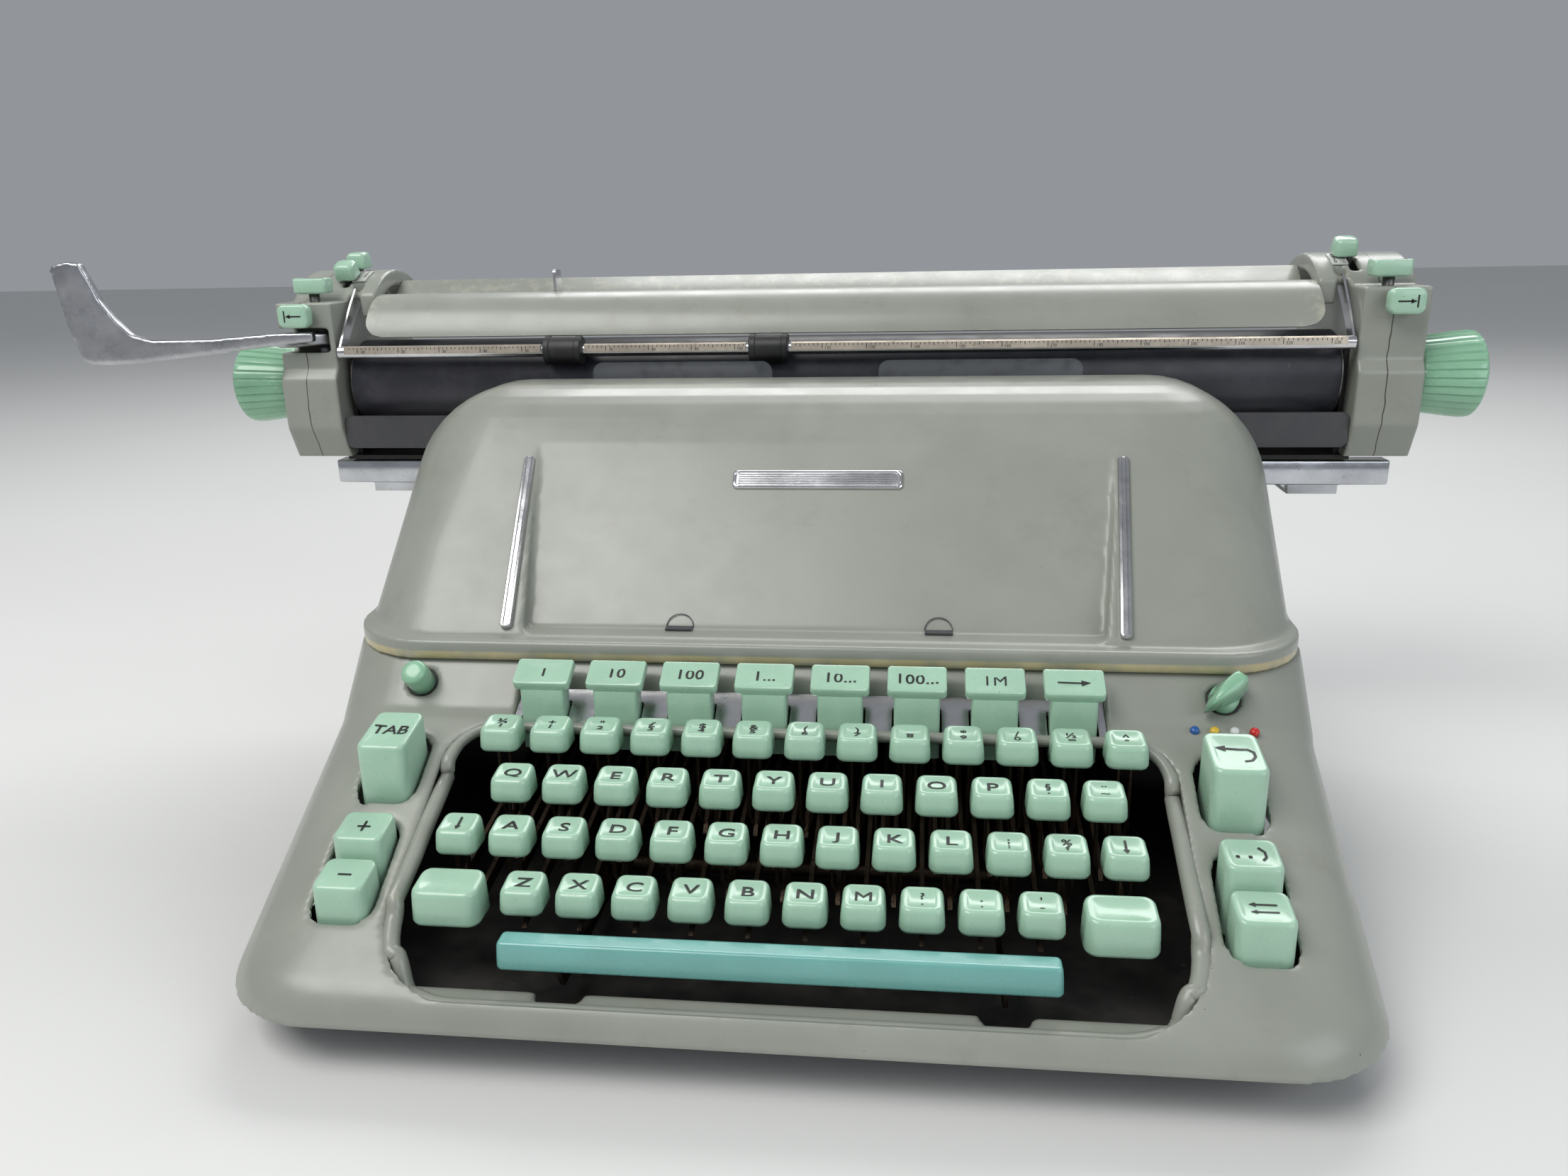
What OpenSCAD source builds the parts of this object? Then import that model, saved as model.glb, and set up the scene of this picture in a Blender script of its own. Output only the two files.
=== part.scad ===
// Wide-carriage manual desk typewriter.
// X runs to the typist's right, Y to the back and Z up, and Z = 0 is the table under the feet.
// Sizes are given in a working frame whose X = 0 is the middle plane of the body and whose Y = 0 is the
// row of keys nearest the space bar. place() then moves the finished machine so that its box is centred.

/* [Body] */
// Half of the width of the lower body
body_half_w = 193; // [188:1:230]
// Height of the lower edge of the body above the table
body_bottom = 17; // [15:1:19]
// Height of the seam between the lower body and the hood
seam_z = 99.5; // [96:0.5:110]
// Height of the rear body that carries the carriage rails
rear_z = 131; // [125:1:132]
// Y of the back of the body
body_back = 330; // [325:1:400]
// Radius that rounds the front and side edges of the keyboard deck
deck_edge_r = 20; // [16:1:24]
// Radius of the front corners of the body, seen from above
deck_corner_r = 40; // [34:1:50]
// How far the lower edge of the front and sides is tucked in
body_tuck = 6; // [0:0.5:9]
// Slope of the keyboard deck in degrees
deck_slope = 28.8; // [27:0.1:29.5]
// Height of the deck plane at Y = 0
deck_z = 45.8; // [43:0.1:47]
// Wall thickness of the shells
wall = 3; // [2:0.1:3.5]

/* [Hood] */
// Half of the width of the hood at its seam
hood_half_w = 191; // [188:1:230]
// Half of the width of the hood at its widest, across the rounded top
hood_top_half_w = 197; // [190:1:225]
// Height of the crest of the hood
hood_top = 193; // [185:1:197]
// Radius of the rounded upper corners of the hood
hood_corner_r = 52; // [44:1:60]
// Y of the open rear edge of the hood
hood_back = 226; // [222:1:228]
// Half of the width of the recessed front panel
panel_half_w = 112; // [95:1:120]
// How much wider the panel is on each side at its top
panel_flare = 13; // [0:1:20]
// Depth of the recessed panel at its bottom ledge
panel_depth = 11; // [6:0.5:14]

/* [Keyboard] */
// Distance between the middles of neighbouring keys
key_pitch = 19.05; // [18.6:0.05:19.6]
// Distance in Y from one key row to the next
row_y = 18.5; // [18:0.1:19]
// Rise from one key row to the next
row_z = 11.16; // [10.5:0.01:11.5]
// Width of a key cap
cap_w = 15; // [12:0.1:15.2]
// Depth of a key cap
cap_d = 14.2; // [12:0.1:14.6]
// Height of a key cap
cap_h = 9.6; // [7:0.1:10]
// Length of the space bar
space_bar_l = 181; // [155:1:190]
// Distance between the middles of neighbouring tabulator keys
decade_pitch = 28.575; // [26:0.005:29]
// Drop of a type key when it is struck
key_drop = 12.5; // [8:0.5:13]

/* [Carriage] */
// Half of the length of the platen's rubber
platen_half_l = 241; // [200:1:260]
// Radius of the platen
platen_r = 21.5; // [18:0.1:22]
// Half of the length of the steel rails under the carriage
rail_half_l = 264; // [240:1:300]
// How far the carriage stands left of the middle of the body
carriage_offset = 4; // [0:0.5:6]
// Width of the block at each end of the carriage
end_block_w = 29.5; // [24:0.5:34]
// Radius of the platen knobs at their outer ends
knob_r = 20.5; // [16:0.1:21]
// Length of each platen knob
knob_l = 29; // [24:1:36]

/* [Fits] */
// Radial clearance of a running fit
run_fit = 0.06; // [0.02:0.01:0.1]
// Clearance around pieces that slide past each other
slide_gap = 0.8; // [0.5:0.1:1.2]

/* [Hidden] */

// Middle of the finished machine's box in the working frame
box_mid_x = -37.63;
box_mid_y = 147.17;

// Colours
paint = [0.60, 0.60, 0.56];
key_green = [0.68, 0.84, 0.73];
bar_green = [0.50, 0.80, 0.76];
steel = [0.72, 0.73, 0.74];
dark = [0.12, 0.12, 0.13];

// Deck and riser
deck_tan = tan(deck_slope);
riser_y = 74;
riser_top_y = riser_y + (seam_z - deck_at(riser_y));
hood_front_y = riser_top_y - 3;
hood_corner_plan_r = 38;
well_half_w = 134;
deck_front = -37;
well_front = -31;
well_back = 63.2;
decade_front = 66;
well_r = 28;
well_back_r = 14;
lip_inner = -20;
lip_top = 25;
pan_t = 1.5;

// Hood front: the plane from its lower edge up to the rounded crest
hood_low_y = hood_front_y + 5;
hood_low_z = seam_z + 6;
crest_y = 205;
crest_z = hood_top - hood_corner_r;
crest_reach = norm([crest_y - hood_low_y, crest_z - hood_low_z]);
hood_slope = atan2(crest_z - hood_low_z, crest_y - hood_low_y) + asin(hood_corner_r / crest_reach);
shoulder_y = 150;
shoulder_r = 38;
panel_low_y = hood_front_y + 7 + panel_depth;
panel_low_z = seam_z + 8.5;
panel_top_y = 163;
strip_y = 93.5;
strip_l = 84;
strip_splay = 5;
badge_y = 149.6;

// Key rows, from the one nearest the space bar
keys_left = -88.06;
row_stagger = [0, -9.525, -14.2875, -23.8125];
row_count = [10, 11, 12, 13];
key_top_z = 52.6;
lever_t = 2;
lever_h = 7;
pivot_y = 172;
pivot_z = 62;
pivot_r = 4;
lever_front_z = body_bottom + key_drop + lever_h / 2 + 7;
pivot_boss_r = 7;

// Side keys and their slots
side_x = 151.5;
side_half_w = 9.4;
slot_half_w = side_half_w + 2 * slide_gap;

// Tabulator (decade) keys
decade_n = 8;
decade_y = 72.5;
decade_stem_w = 17;
decade_stem_d = 8.6;
decade_cap_z = 97.5;
decade_lean = 27;

// Middles of the space bar's arms, each halfway between two key levers
space_arm_x = [(row_x(0, 1) + row_x(3, 2)) / 2, (row_x(2, 9) + row_x(1, 9)) / 2];
space_arm_t = 1.6;
// Top of the arms, below the caps of the lowest row when they are pressed
arm_top = key_top_z - cap_h - key_drop - 2.3;
space_pivot = [60, 26];
space_pivot_r = 3;

// Middles of the ribbon button and the ribbon lever
ribbon_x = [-152.5, 155];
ribbon_y = 81.5;
ribbon_z = 90;
pointer_turn = 40;

// Type basket
segment_y = 208;
segment_z = 100;
segment_d = 14;
segment_in = 36;
segment_out = 54;
spool_x = 125;
spool_y = 200;
spool_z = 142;
spindle_r = 3;

// Carriage
axis_y = 259;
axis_z = 188;
end_in = platen_half_l + 5;
end_out = end_in + end_block_w;
arch_y = 287;
arch_z = 200;
arch_r = 44;
arch_in = platen_half_l - 9;
bail_half_l = end_in - 1.6;
ruler_half_l = end_in - 6;
bail_arm_x = end_in - 3;
rail_shift = 2;
stem_r = 2.6;
axle_r = 6;
wire_y = 298;
wire_z = 234.6;
wire_l = 26;
wire_lean = 100;
wire_pin_r = 0.9;
wire_left = [-120, -69];
wire_right = [67, 121];
selector_t = 2.4;
release_y = 248.5;
lever_pivot_y = 246;
lever_pin_r = 3;
feed_roller_r = 7;
feed_roller_z = axis_z - platen_r - feed_roller_r - 0.3;
bail_pin_r = 2;
bail_y = 236;
bail_z = 205.5;
bail_pivot_y = 261;
bail_pivot_z = 232;
bail_rod_r = 3.2;
bail_roller_r = 7;
bail_roller_w = 19;
bail_roller_x = [-127.7, -26];
deflector_y = 267.5;
deflector_z = 203.5;
deflector_r = 29;
deflector_lip = 18;
cover_front = 236;
cover_top = 230;
cover_bottom = 152;
cover_back = 326;
rail_z = [137, 149];
rail_y = [250, 306];

function deck_at(y) = deck_z + y * deck_tan;
function hood_at(y) = hood_low_z + (y - hood_low_y) * tan(hood_slope);
panel_slope = atan2(hood_at(panel_top_y) - panel_low_z, panel_top_y - panel_low_y);
function panel_at(y) = panel_low_z + (y - panel_low_y) * tan(panel_slope);
function lever_z(y) = lever_front_z + (pivot_z - lever_front_z) * y / pivot_y;
function row_x(row, i) = keys_left + row_stagger[row] + i * key_pitch;

module place() {
    translate([-box_mid_x, -box_mid_y, 0]) children();
}

// Moves the carriage pieces from the carriage's own middle to where the carriage stands
module on_carriage() {
    place() translate([-carriage_offset, 0, 0]) children();
}

// Rounded rectangle with true arcs, its middle at the origin
module rounded(w, d, r) {
    square([w - 2 * r, d], center = true);
    square([w, d - 2 * r], center = true);
    for (sx = [-1, 1], sy = [-1, 1])
        translate([sx * (w / 2 - r), sy * (d / 2 - r)]) circle(r, $fn = 40);
}

// Block with rounded upright edges from z0 to z1 over the given X and Y ranges
module block(x0, x1, y0, y1, z0, z1, r) {
    translate([(x0 + x1) / 2, (y0 + y1) / 2, z0])
        linear_extrude(z1 - z0) rounded(x1 - x0, y1 - y0, r);
}

// Plain box between two corners
module box(x0, x1, y0, y1, z0, z1) {
    translate([x0, y0, z0]) cube([x1 - x0, y1 - y0, z1 - z0]);
}

// Extrudes an outline given in (Y, Z) along X from x0 to x1
module along_x(x0, x1) {
    translate([x0, 0, 0]) rotate([90, 0, 90]) linear_extrude(x1 - x0) children();
}

// Round bar along X
module bar_x(x0, x1, y, z, r) {
    translate([x0, y, z]) rotate([0, 90, 0]) cylinder(r = r, h = x1 - x0, $fn = 48);
}

// Ring-shaped corner piece, its outer radius deck_corner_r and its edge radius deck_edge_r, shrunk by inset
module corner_ring(inset) {
    rotate_extrude($fn = 44) translate([deck_corner_r - deck_edge_r, 0]) circle(deck_edge_r - inset, $fn = 32);
}

// Wedge of keyboard deck, shrunk by inset on every side, with its edges rounded
module deck_wedge(inset) {
    cx = body_half_w - deck_corner_r;
    front = deck_front + deck_corner_r;
    back = riser_top_y + 30;
    // Depth of a corner ring's middle under the deck plane
    drop = ((deck_corner_r - deck_edge_r) * sin(deck_slope) + deck_edge_r) / cos(deck_slope);
    low_r = deck_corner_r - body_tuck - inset;
    intersection() {
        hull() {
            for (sx = [-1, 1]) {
                for (y = [front, riser_top_y + 8])
                    translate([sx * cx, y, deck_at(y) - drop]) corner_ring(inset);
                translate([sx * cx, front, body_bottom - 6]) cylinder(r = low_r, h = 1, $fn = 44);
                translate([sx * cx, back, body_bottom - 6]) cylinder(r = deck_corner_r - inset, h = 30, $fn = 44);
            }
        }
        box(-300, 300, -60, back, body_bottom - (inset > 0 ? 5 : 0), 140);
    }
}

// Box of the body behind the keyboard, under the hood, shrunk by inset
module rear_box(inset) {
    r = hood_corner_plan_r - inset;
    x = body_half_w - hood_corner_plan_r;
    low_y = riser_y - 13 + hood_corner_plan_r;
    hull() {
        for (sx = [-1, 1]) {
            translate([sx * x, low_y, body_bottom - (inset > 0 ? 5 : 0)])
                cylinder(r = r, h = deck_at(riser_y) - 14 - body_bottom, $fn = 40);
            translate([sx * x, riser_top_y + hood_corner_plan_r, seam_z - 2 - inset])
                cylinder(r = r, h = 2, $fn = 40);
            translate([sx * x, body_back - hood_corner_plan_r, body_bottom - (inset > 0 ? 5 : 0)])
                cylinder(r = r, h = seam_z - inset - body_bottom + (inset > 0 ? 5 : 0), $fn = 40);
        }
    }
}

// Side key slots: [middle X sign, front Y, back Y]
side_slots = [[-1, 32, 60], [-1, -9.8, 26], [1, 32, 60], [1, -9.8, 26]];

module base_shell() place() color(paint)
    difference() {
        union() {
            deck_wedge(0);
            rear_box(0);
        }
        difference() {
            union() {
                deck_wedge(wall);
                rear_box(wall);
            }
            // Thin lip in front of the space bar
            box(-well_half_w, well_half_w, -50, lip_inner, lip_top - wall, lip_top);
        }
        // Keyboard well
        block(-well_half_w, well_half_w, well_front, well_back, lip_top, 200, well_r);
        block(-well_half_w, well_half_w, lip_inner, well_back, lip_top, 200, well_back_r);
        block(-well_half_w, well_half_w, lip_inner, well_back, 5, lip_top + 1, 12);
        for (x = space_arm_x)
            translate([x, lip_inner, 5]) cylinder(r = 8, h = 40, $fn = 40);
        // Opening for the tabulator keys
        box(-decade_span() / 2 - 12, decade_span() / 2 + 12, decade_front, 82.5, 60, 130);
        for (s = side_slots)
            block(s[0] * side_x - slot_half_w, s[0] * side_x + slot_half_w, s[1], s[2], 20, 140, 7);
        // Holes for the ribbon button and the ribbon lever
        for (x = ribbon_x)
            translate([x, ribbon_y, ribbon_z]) rotate([45, 0, 0]) cylinder(r = 6, h = 40, center = true, $fn = 48);
        // Opening under the hood for the type basket
        block(-165, 165, 108, 222, 60, 140, 12);
        block(-150, 150, 232, 318, 60, 140, 8);
    }

function decade_span() = (decade_n - 1) * decade_pitch;

// Outside of the hood, shrunk by inset
module hood_form(inset) {
    r = hood_corner_r - inset;
    cx = hood_top_half_w - hood_corner_r;
    low_y = hood_low_y + hood_corner_plan_r;
    low_x = hood_half_w - 2 - hood_corner_plan_r;
    hull() {
        for (sx = [-1, 1]) {
            translate([sx * cx, crest_y, crest_z]) sphere(r, $fn = 44);
            translate([sx * cx, crest_y, crest_z]) rotate([-90, 0, 0]) cylinder(r = r, h = hood_back - crest_y + 1, $fn = 44);
            // Shoulder that keeps the sloping front nearly as wide as the flange
            translate([sx * (hood_half_w + 1 - shoulder_r), shoulder_y, hood_at(shoulder_y) - shoulder_r / cos(hood_slope)])
                sphere(shoulder_r - inset, $fn = 36);
            translate([sx * low_x, low_y, seam_z - 1]) cylinder(r = hood_corner_plan_r - inset, h = 7, $fn = 44);
            translate([sx * (hood_half_w - 12), hood_back - 10, seam_z - 1]) cylinder(r = 11 - inset, h = 7, $fn = 44);
        }
    }
}

// Wedge cut that leaves the sloping front panel recessed towards its bottom ledge
module panel_wedge(grow) {
    intersection() {
        along_x(-200, 200)
            polygon([[hood_front_y + 1, panel_low_z - grow], [panel_low_y + grow, panel_low_z - grow],
                [panel_top_y + grow, hood_at(panel_top_y)], [150, 190], [80, 150]]);
        translate([0, 0, 60]) linear_extrude(160)
            polygon([[-panel_half_w - grow, 80], [panel_half_w + grow, 80],
                [panel_half_w + panel_flare + grow, panel_top_y + 3],
                [-panel_half_w - panel_flare - grow, panel_top_y + 3]]);
    }
}

module hood() place() color(paint)
    difference() {
        union() {
            difference() {
                hood_form(0);
                difference() {
                    hood_form(wall);
                    panel_wedge(wall);
                }
            }
            // Rolled flange around the seam
            difference() {
                block(-hood_half_w, hood_half_w, hood_front_y, hood_back, seam_z, seam_z + 8, hood_corner_plan_r);
                block(-hood_half_w + 9, hood_half_w - 9, hood_front_y + 9, hood_back + 40, seam_z - 1,
                    seam_z + 9, hood_corner_plan_r - 9);
            }
        }
        panel_wedge(0);
        box(-300, 300, hood_back, 300, 60, 300);
        box(-300, 300, 0, 300, 60, seam_z);
    }

module rear_cover() place() color(paint)
    difference() {
        block(-body_half_w, body_half_w, hood_back + 3, body_back, seam_z, rear_z, 12);
        block(-body_half_w + wall, body_half_w - wall, hood_back + 3 + wall, body_back - wall, seam_z - 1,
            rear_z - wall, 10);
        block(-150, 150, 234, 316, rear_z - 10, rear_z + 10, 8);
    }

// Plate under the rim of the body
module bottom_pan() place() color(dark) {
    edge = body_tuck + wall / 2;
    block(-body_half_w + edge, body_half_w - edge, deck_front + edge, body_back - wall / 2, body_bottom - pan_t,
        body_bottom, 32);
}

module rubber_feet() place() color(dark)
    for (x = [-150, 150], y = [12, 300])
        translate([x, y, 0]) cylinder(r1 = 13, r2 = 15, h = body_bottom - pan_t, $fn = 48);

module hood_strips() place() color(steel)
    for (sx = [-1, 1])
        translate([sx * (panel_half_w + 9), strip_y, hood_at(strip_y)]) rotate([0, 0, -sx * strip_splay])
            strip();

// Bright strip that lies along the slope of the hood front, its lower end at the origin
module strip() {
    rotate([hood_slope, 0, 0]) box(-2.4, 2.4, 0, strip_l, -1, 2);
}

module badge() place() color(steel)
    translate([0, badge_y, panel_at(badge_y)]) rotate([panel_slope, 0, 0]) translate([0, 0, -1])
        linear_extrude(2.6) rounded(72, 9, 2);

// Steel cross plate inside the body that carries the type segment and the spool spindles
module main_frame() place() color(steel) {
    box(-spool_x - 10, spool_x + 10, spool_y - 2, spool_y + 2, body_bottom, segment_z - 8);
    for (sx = [-1, 1])
        translate([sx * spool_x, spool_y, segment_z - 8]) {
            cylinder(r = 6, h = spool_z - segment_z + 8 - 0.4, $fn = 48);
            cylinder(r = spindle_r, h = spool_z - segment_z + 8 + 18, $fn = 48);
        }
}

module carriage_rails() place() color(steel) {
    for (y = rail_y)
        box(rail_shift - rail_half_l, rail_shift + rail_half_l, y - 5, y + 5, rail_z[0], rail_z[1]);
    for (x = [-160, 160], y = rail_y)
        box(x - 12, x + 12, y - 4, y + 4, rear_z, rail_z[0]);
    for (sx = [-1, 1])
        box(sx * 232 - 12, sx * 232 + 12, rail_y[0] - 3, rail_y[1] + 3, rail_z[0] - 5, rail_z[0]);
}

module decade_guide() place() color(steel)
    difference() {
        along_x(-decade_span() / 2 - 12, decade_span() / 2 + 12)
            polygon([[decade_front, deck_at(decade_front) - 4], [82.5, deck_at(82.5) - 4],
                [82.5, deck_at(82.5) - 2.4], [decade_front, deck_at(decade_front) - 2.4]]);
        for (i = [0 : decade_n - 1])
            block(decade_x(i) - decade_stem_w / 2 - slide_gap, decade_x(i) + decade_stem_w / 2 + slide_gap,
                decade_y - decade_stem_d / 2 - slide_gap, decade_y + decade_stem_d / 2 + slide_gap, 60, 120, 1);
    }

function decade_x(i) = (i - (decade_n - 1) / 2) * decade_pitch;

module ribbon_dots() place()
    for (i = [0 : 3])
        color([["blue"], ["gold"], ["white"], ["red"]][i][0])
            translate([143 + 7 * i, 69.5, deck_at(69.5) - 1.5]) rotate([deck_slope, 0, 0])
                cylinder(r = 1.7, h = 2.6, $fn = 24);

// Shaft that all the key levers turn on, with its brackets, and the shaft of the space bar
module key_pivot() place() color(steel) {
    bar_x(-126, 126, pivot_y, pivot_z, pivot_r);
    for (sx = [-1, 1])
        difference() {
            box(sx * 124 - 2, sx * 124 + 2, pivot_y - 10, pivot_y + 10, body_bottom, pivot_z + 8);
            bar_x(sx * 124 - 5, sx * 124 + 5, pivot_y, pivot_z, pivot_r - 0.01);
        }
    bar_x(space_arm_x[0] - 5, space_arm_x[1] + 5, space_pivot[0], space_pivot[1], space_pivot_r);
    for (x = [space_arm_x[0] - 5, space_arm_x[1] + 5])
        box(x - 1.5, x + 1.5, space_pivot[0] - 5, space_pivot[0] + 5, body_bottom, space_pivot[1] + 3);
}

// Half-round block that carries the typebars
module type_segment() place() color(steel)
    translate([0, segment_y, segment_z])
        difference() {
            rotate([90, 0, 0]) rotate_extrude(angle = 180, $fn = 96)
                translate([segment_in, 0]) square([segment_out - segment_in, segment_d]);
            box(-100, 100, -100, 100, -40, -8);
        }

module typebars() place() color(steel)
    for (a = [20 : 7 : 160])
        translate([0, segment_y, segment_z]) rotate([90, 0, 0]) rotate([0, 0, a])
            translate([41, -0.7, segment_d - 3]) rotate([0, -9, 0]) cube([4, 1.4, 57]);

// Steel type guide in front of the platen, with a clear card holder on each side
module type_guide() place() color([0.8, 0.82, 0.84, 0.6]) {
    for (x = [[-116, -28], [23, 118]])
        translate([(x[0] + x[1]) / 2, 230, 186.5]) rotate([90, 0, 0])
            linear_extrude(1.4) rounded(x[1] - x[0], 27, 5);
    box(-30, 26, 228, 229.4, 176, 188);
    box(-12, 12, segment_y, 229.4, 176, 178);
    box(-12, 12, segment_y, segment_y + 2, segment_z + segment_in + 4, 178);
}

module spool(x) translate([x, spool_y, spool_z])
    difference() {
        union() {
            for (z = [0, 14])
                translate([0, 0, z]) cylinder(r = 25, h = 1.2, $fn = 64);
            cylinder(r = 20, h = 15, $fn = 64);
        }
        translate([0, 0, -1]) cylinder(r = spindle_r + run_fit, h = 20, $fn = 48);
    }

module ribbon_spool_left() place() color(dark) spool(-spool_x);
module ribbon_spool_right() place() color(dark) spool(spool_x);

// Bed of the carriage, with its side plates and back plate
module carriage_bed() on_carriage() color(dark) {
    box(-end_in - 4, end_in + 4, 243, cover_back - 4, rail_z[1] + slide_gap, cover_bottom);
    for (sx = [-1, 1])
        difference() {
            box(sx * (end_in - 1.6) - 1, sx * (end_in - 1.6) + 1, 246, 300, cover_bottom - 1, 205);
            bar_x(sx * (end_in - 1.6) - 3, sx * (end_in - 1.6) + 3, axis_y, axis_z, axle_r + run_fit);
        }
    box(-end_in + 2, end_in - 2, 296, 300, cover_bottom - 1, 200);
}

// Outline of an end cover seen from the side
module cover_outline(inset) {
    offset_y = cover_front + inset;
    polygon([[offset_y, cover_top - inset], [offset_y, 198], [offset_y - 4, 192], [offset_y - 4, 168],
        [offset_y + 3, cover_bottom + inset], [cover_back - inset - 10, cover_bottom + inset],
        [cover_back - inset, 166], [cover_back - inset, arch_z], [255, arch_z], [255, cover_top - inset]]);
    intersection() {
        translate([arch_y, arch_z]) circle(arch_r - inset, $fn = 96);
        translate([arch_y - 60, arch_z - 5]) square([120, 80]);
    }
}

module end_cover() {
    difference() {
        union() {
            along_x(end_in, end_out) cover_outline(0);
            // Hump that reaches inwards over the end of the platen
            along_x(arch_in, end_in + 1) intersection() {
                difference() {
                    translate([arch_y, arch_z]) circle(arch_r, $fn = 96);
                    translate([arch_y, arch_z]) circle(arch_r - 8, $fn = 96);
                }
                translate([arch_y - 30, arch_z + 18]) square([74, 60]);
            }
        }
        // Relief for the arm of the bail
        box(end_in - 5.5, end_in - 0.5, bail_pivot_y - 14, bail_pivot_y + 5, bail_pivot_z - 16, 250);
        // Hollow, open towards the carriage bed
        along_x(end_in - 1 + wall, end_out - wall) cover_outline(wall);
        bar_x(end_in - 2, end_out + 2, axis_y, axis_z, 9);
        // Slot that the selector levers run in
        along_x(end_in + 4 - selector_t / 2 - slide_gap, end_in + 4 + selector_t / 2 + slide_gap) intersection() {
            difference() {
                translate([arch_y, arch_z]) circle(arch_r + 2, $fn = 96);
                translate([arch_y, arch_z]) circle(arch_r - wall - 2, $fn = 96);
            }
            polygon([[arch_y, arch_z], [arch_y - 42, arch_z + 62], [arch_y + 30, arch_z + 70]]);
        }
        // Hole for the stem of the release key
        translate([end_in + 14, release_y, 215]) cylinder(r = stem_r + slide_gap, h = 30, $fn = 40);
        // Hole for the margin key
        translate([end_in + 16, cover_front - 6, 224]) rotate([-90, 0, 0])
            cylinder(r = stem_r + slide_gap, h = 14, $fn = 40);
    }
    // Pin that the bail turns on
    bar_x(end_in - 5, end_in + 1, bail_pivot_y, bail_pivot_z, bail_pin_r);
}

module left_end_cover() on_carriage() color(paint)
    difference() {
        mirror([1, 0, 0]) end_cover();
        // Slot for the return lever
        box(-end_out - 1, -end_in - 3, cover_front - 6, cover_front + 14, 205.5, 217.5);
    }

module right_end_cover() on_carriage() color(paint) end_cover();

// Curved sheet above the platen
module paper_deflector() on_carriage() color(paint)
    along_x(-arch_in, arch_in) intersection() {
        difference() {
            translate([deflector_y, deflector_z]) circle(deflector_r, $fn = 96);
            translate([deflector_y, deflector_z]) circle(deflector_r - 1.8, $fn = 96);
        }
        translate([deflector_y, deflector_z])
            polygon([[0, 0], [-40, 40 * tan(deflector_lip)], [-40, 36.5], [-5.5, 36.5], [-3.5, 28.5]]);
    }

// Sloping paper table behind the platen
module paper_table() on_carriage() color(paint) {
    along_x(-arch_in, arch_in)
        polygon([[268, 219], [292, 238], [294, 238], [296, 236], [270, 216]]);
    // Hinge pins of the paper supports, each held by two ears
    for (x = concat(wire_left, wire_right)) {
        bar_x(x - 3.4, x + 3.4, wire_y, wire_z, wire_pin_r);
        for (sx = [-1, 1])
            along_x(x + sx * 3.4 - 0.5, x + sx * 3.4 + 0.5)
                polygon([[293, 237.5], [wire_y + 1.4, wire_z + 1.2], [wire_y + 1.4, wire_z - 1.4], [290, 233]]);
    }
}

module front_pan() on_carriage() color(dark)
    box(-end_in, end_in, 235, 237, 157, 173.5);

module feed_rollers() on_carriage() color(dark) {
    for (x = [-180 : 90 : 180])
        bar_x(x - 22, x + 22, axis_y, feed_roller_z, feed_roller_r);
    bar_x(-end_in + 2.6, end_in - 2.6, axis_y, feed_roller_z, 2.5);
}

// Curved scale beside each selector slot
module scale_plates() on_carriage() color([0.85, 0.85, 0.85])
    for (sx = [-1, 1])
        along_x(sx * (end_in - 3) - 4, sx * (end_in - 3) + 4) intersection() {
            difference() {
                translate([arch_y, arch_z]) circle(arch_r + 0.8, $fn = 96);
                translate([arch_y, arch_z]) circle(arch_r, $fn = 96);
            }
            polygon([[arch_y, arch_z], [arch_y - 29, arch_z + 52], [arch_y - 8, arch_z + 60]]);
        }

module paper_guide() on_carriage() color(steel) {
    box(-148.5, -130.5, 273, 275, 227.5, 231);
    box(-140, -138.6, 266, 276, 227.5, 243);
}

// Bent wire that props up tall paper
module wire_prop(ends) color(steel) {
    for (x = ends) {
        translate([x, wire_y, wire_z]) rotate([-wire_lean, 0, 0]) translate([0, 0, 1.4])
            cylinder(r = 1, h = wire_l - 1.4, $fn = 24);
        difference() {
            bar_x(x - 2.4, x + 2.4, wire_y, wire_z, 2);
            bar_x(x - 3, x + 3, wire_y, wire_z, wire_pin_r + run_fit);
        }
    }
    bar_x(ends[0] - 1.3, ends[1] + 1.3, wire_y + wire_l * sin(wire_lean), wire_z + wire_l * cos(wire_lean), 1.2);
}

module paper_support_left() on_carriage() wire_prop(wire_left);
module paper_support_right() on_carriage() wire_prop(wire_right);

module platen() on_carriage() color(dark) {
    bar_x(-platen_half_l, platen_half_l, axis_y, axis_z, platen_r);
    bar_x(-end_out - 6, end_out + 6, axis_y, axis_z, axle_r);
}

module knob(sx) {
    x = sx * (end_out + 2.4);
    difference() {
        translate([x, axis_y, axis_z]) rotate([0, sx * 90, 0])
            rotate_extrude($fn = 96)
                polygon([[0, 0], [18, 0], [knob_r, knob_l - 5], [knob_r - 1.2, knob_l - 1.5],
                    [knob_r - 5, knob_l], [0, knob_l + 1.5]]);
        bar_x(-end_out - 6.01, end_out + 6.01, axis_y, axis_z, axle_r);
    }
}

module knob_left() on_carriage() color(key_green) knob(-1);
module knob_right() on_carriage() color(key_green) knob(1);

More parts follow.
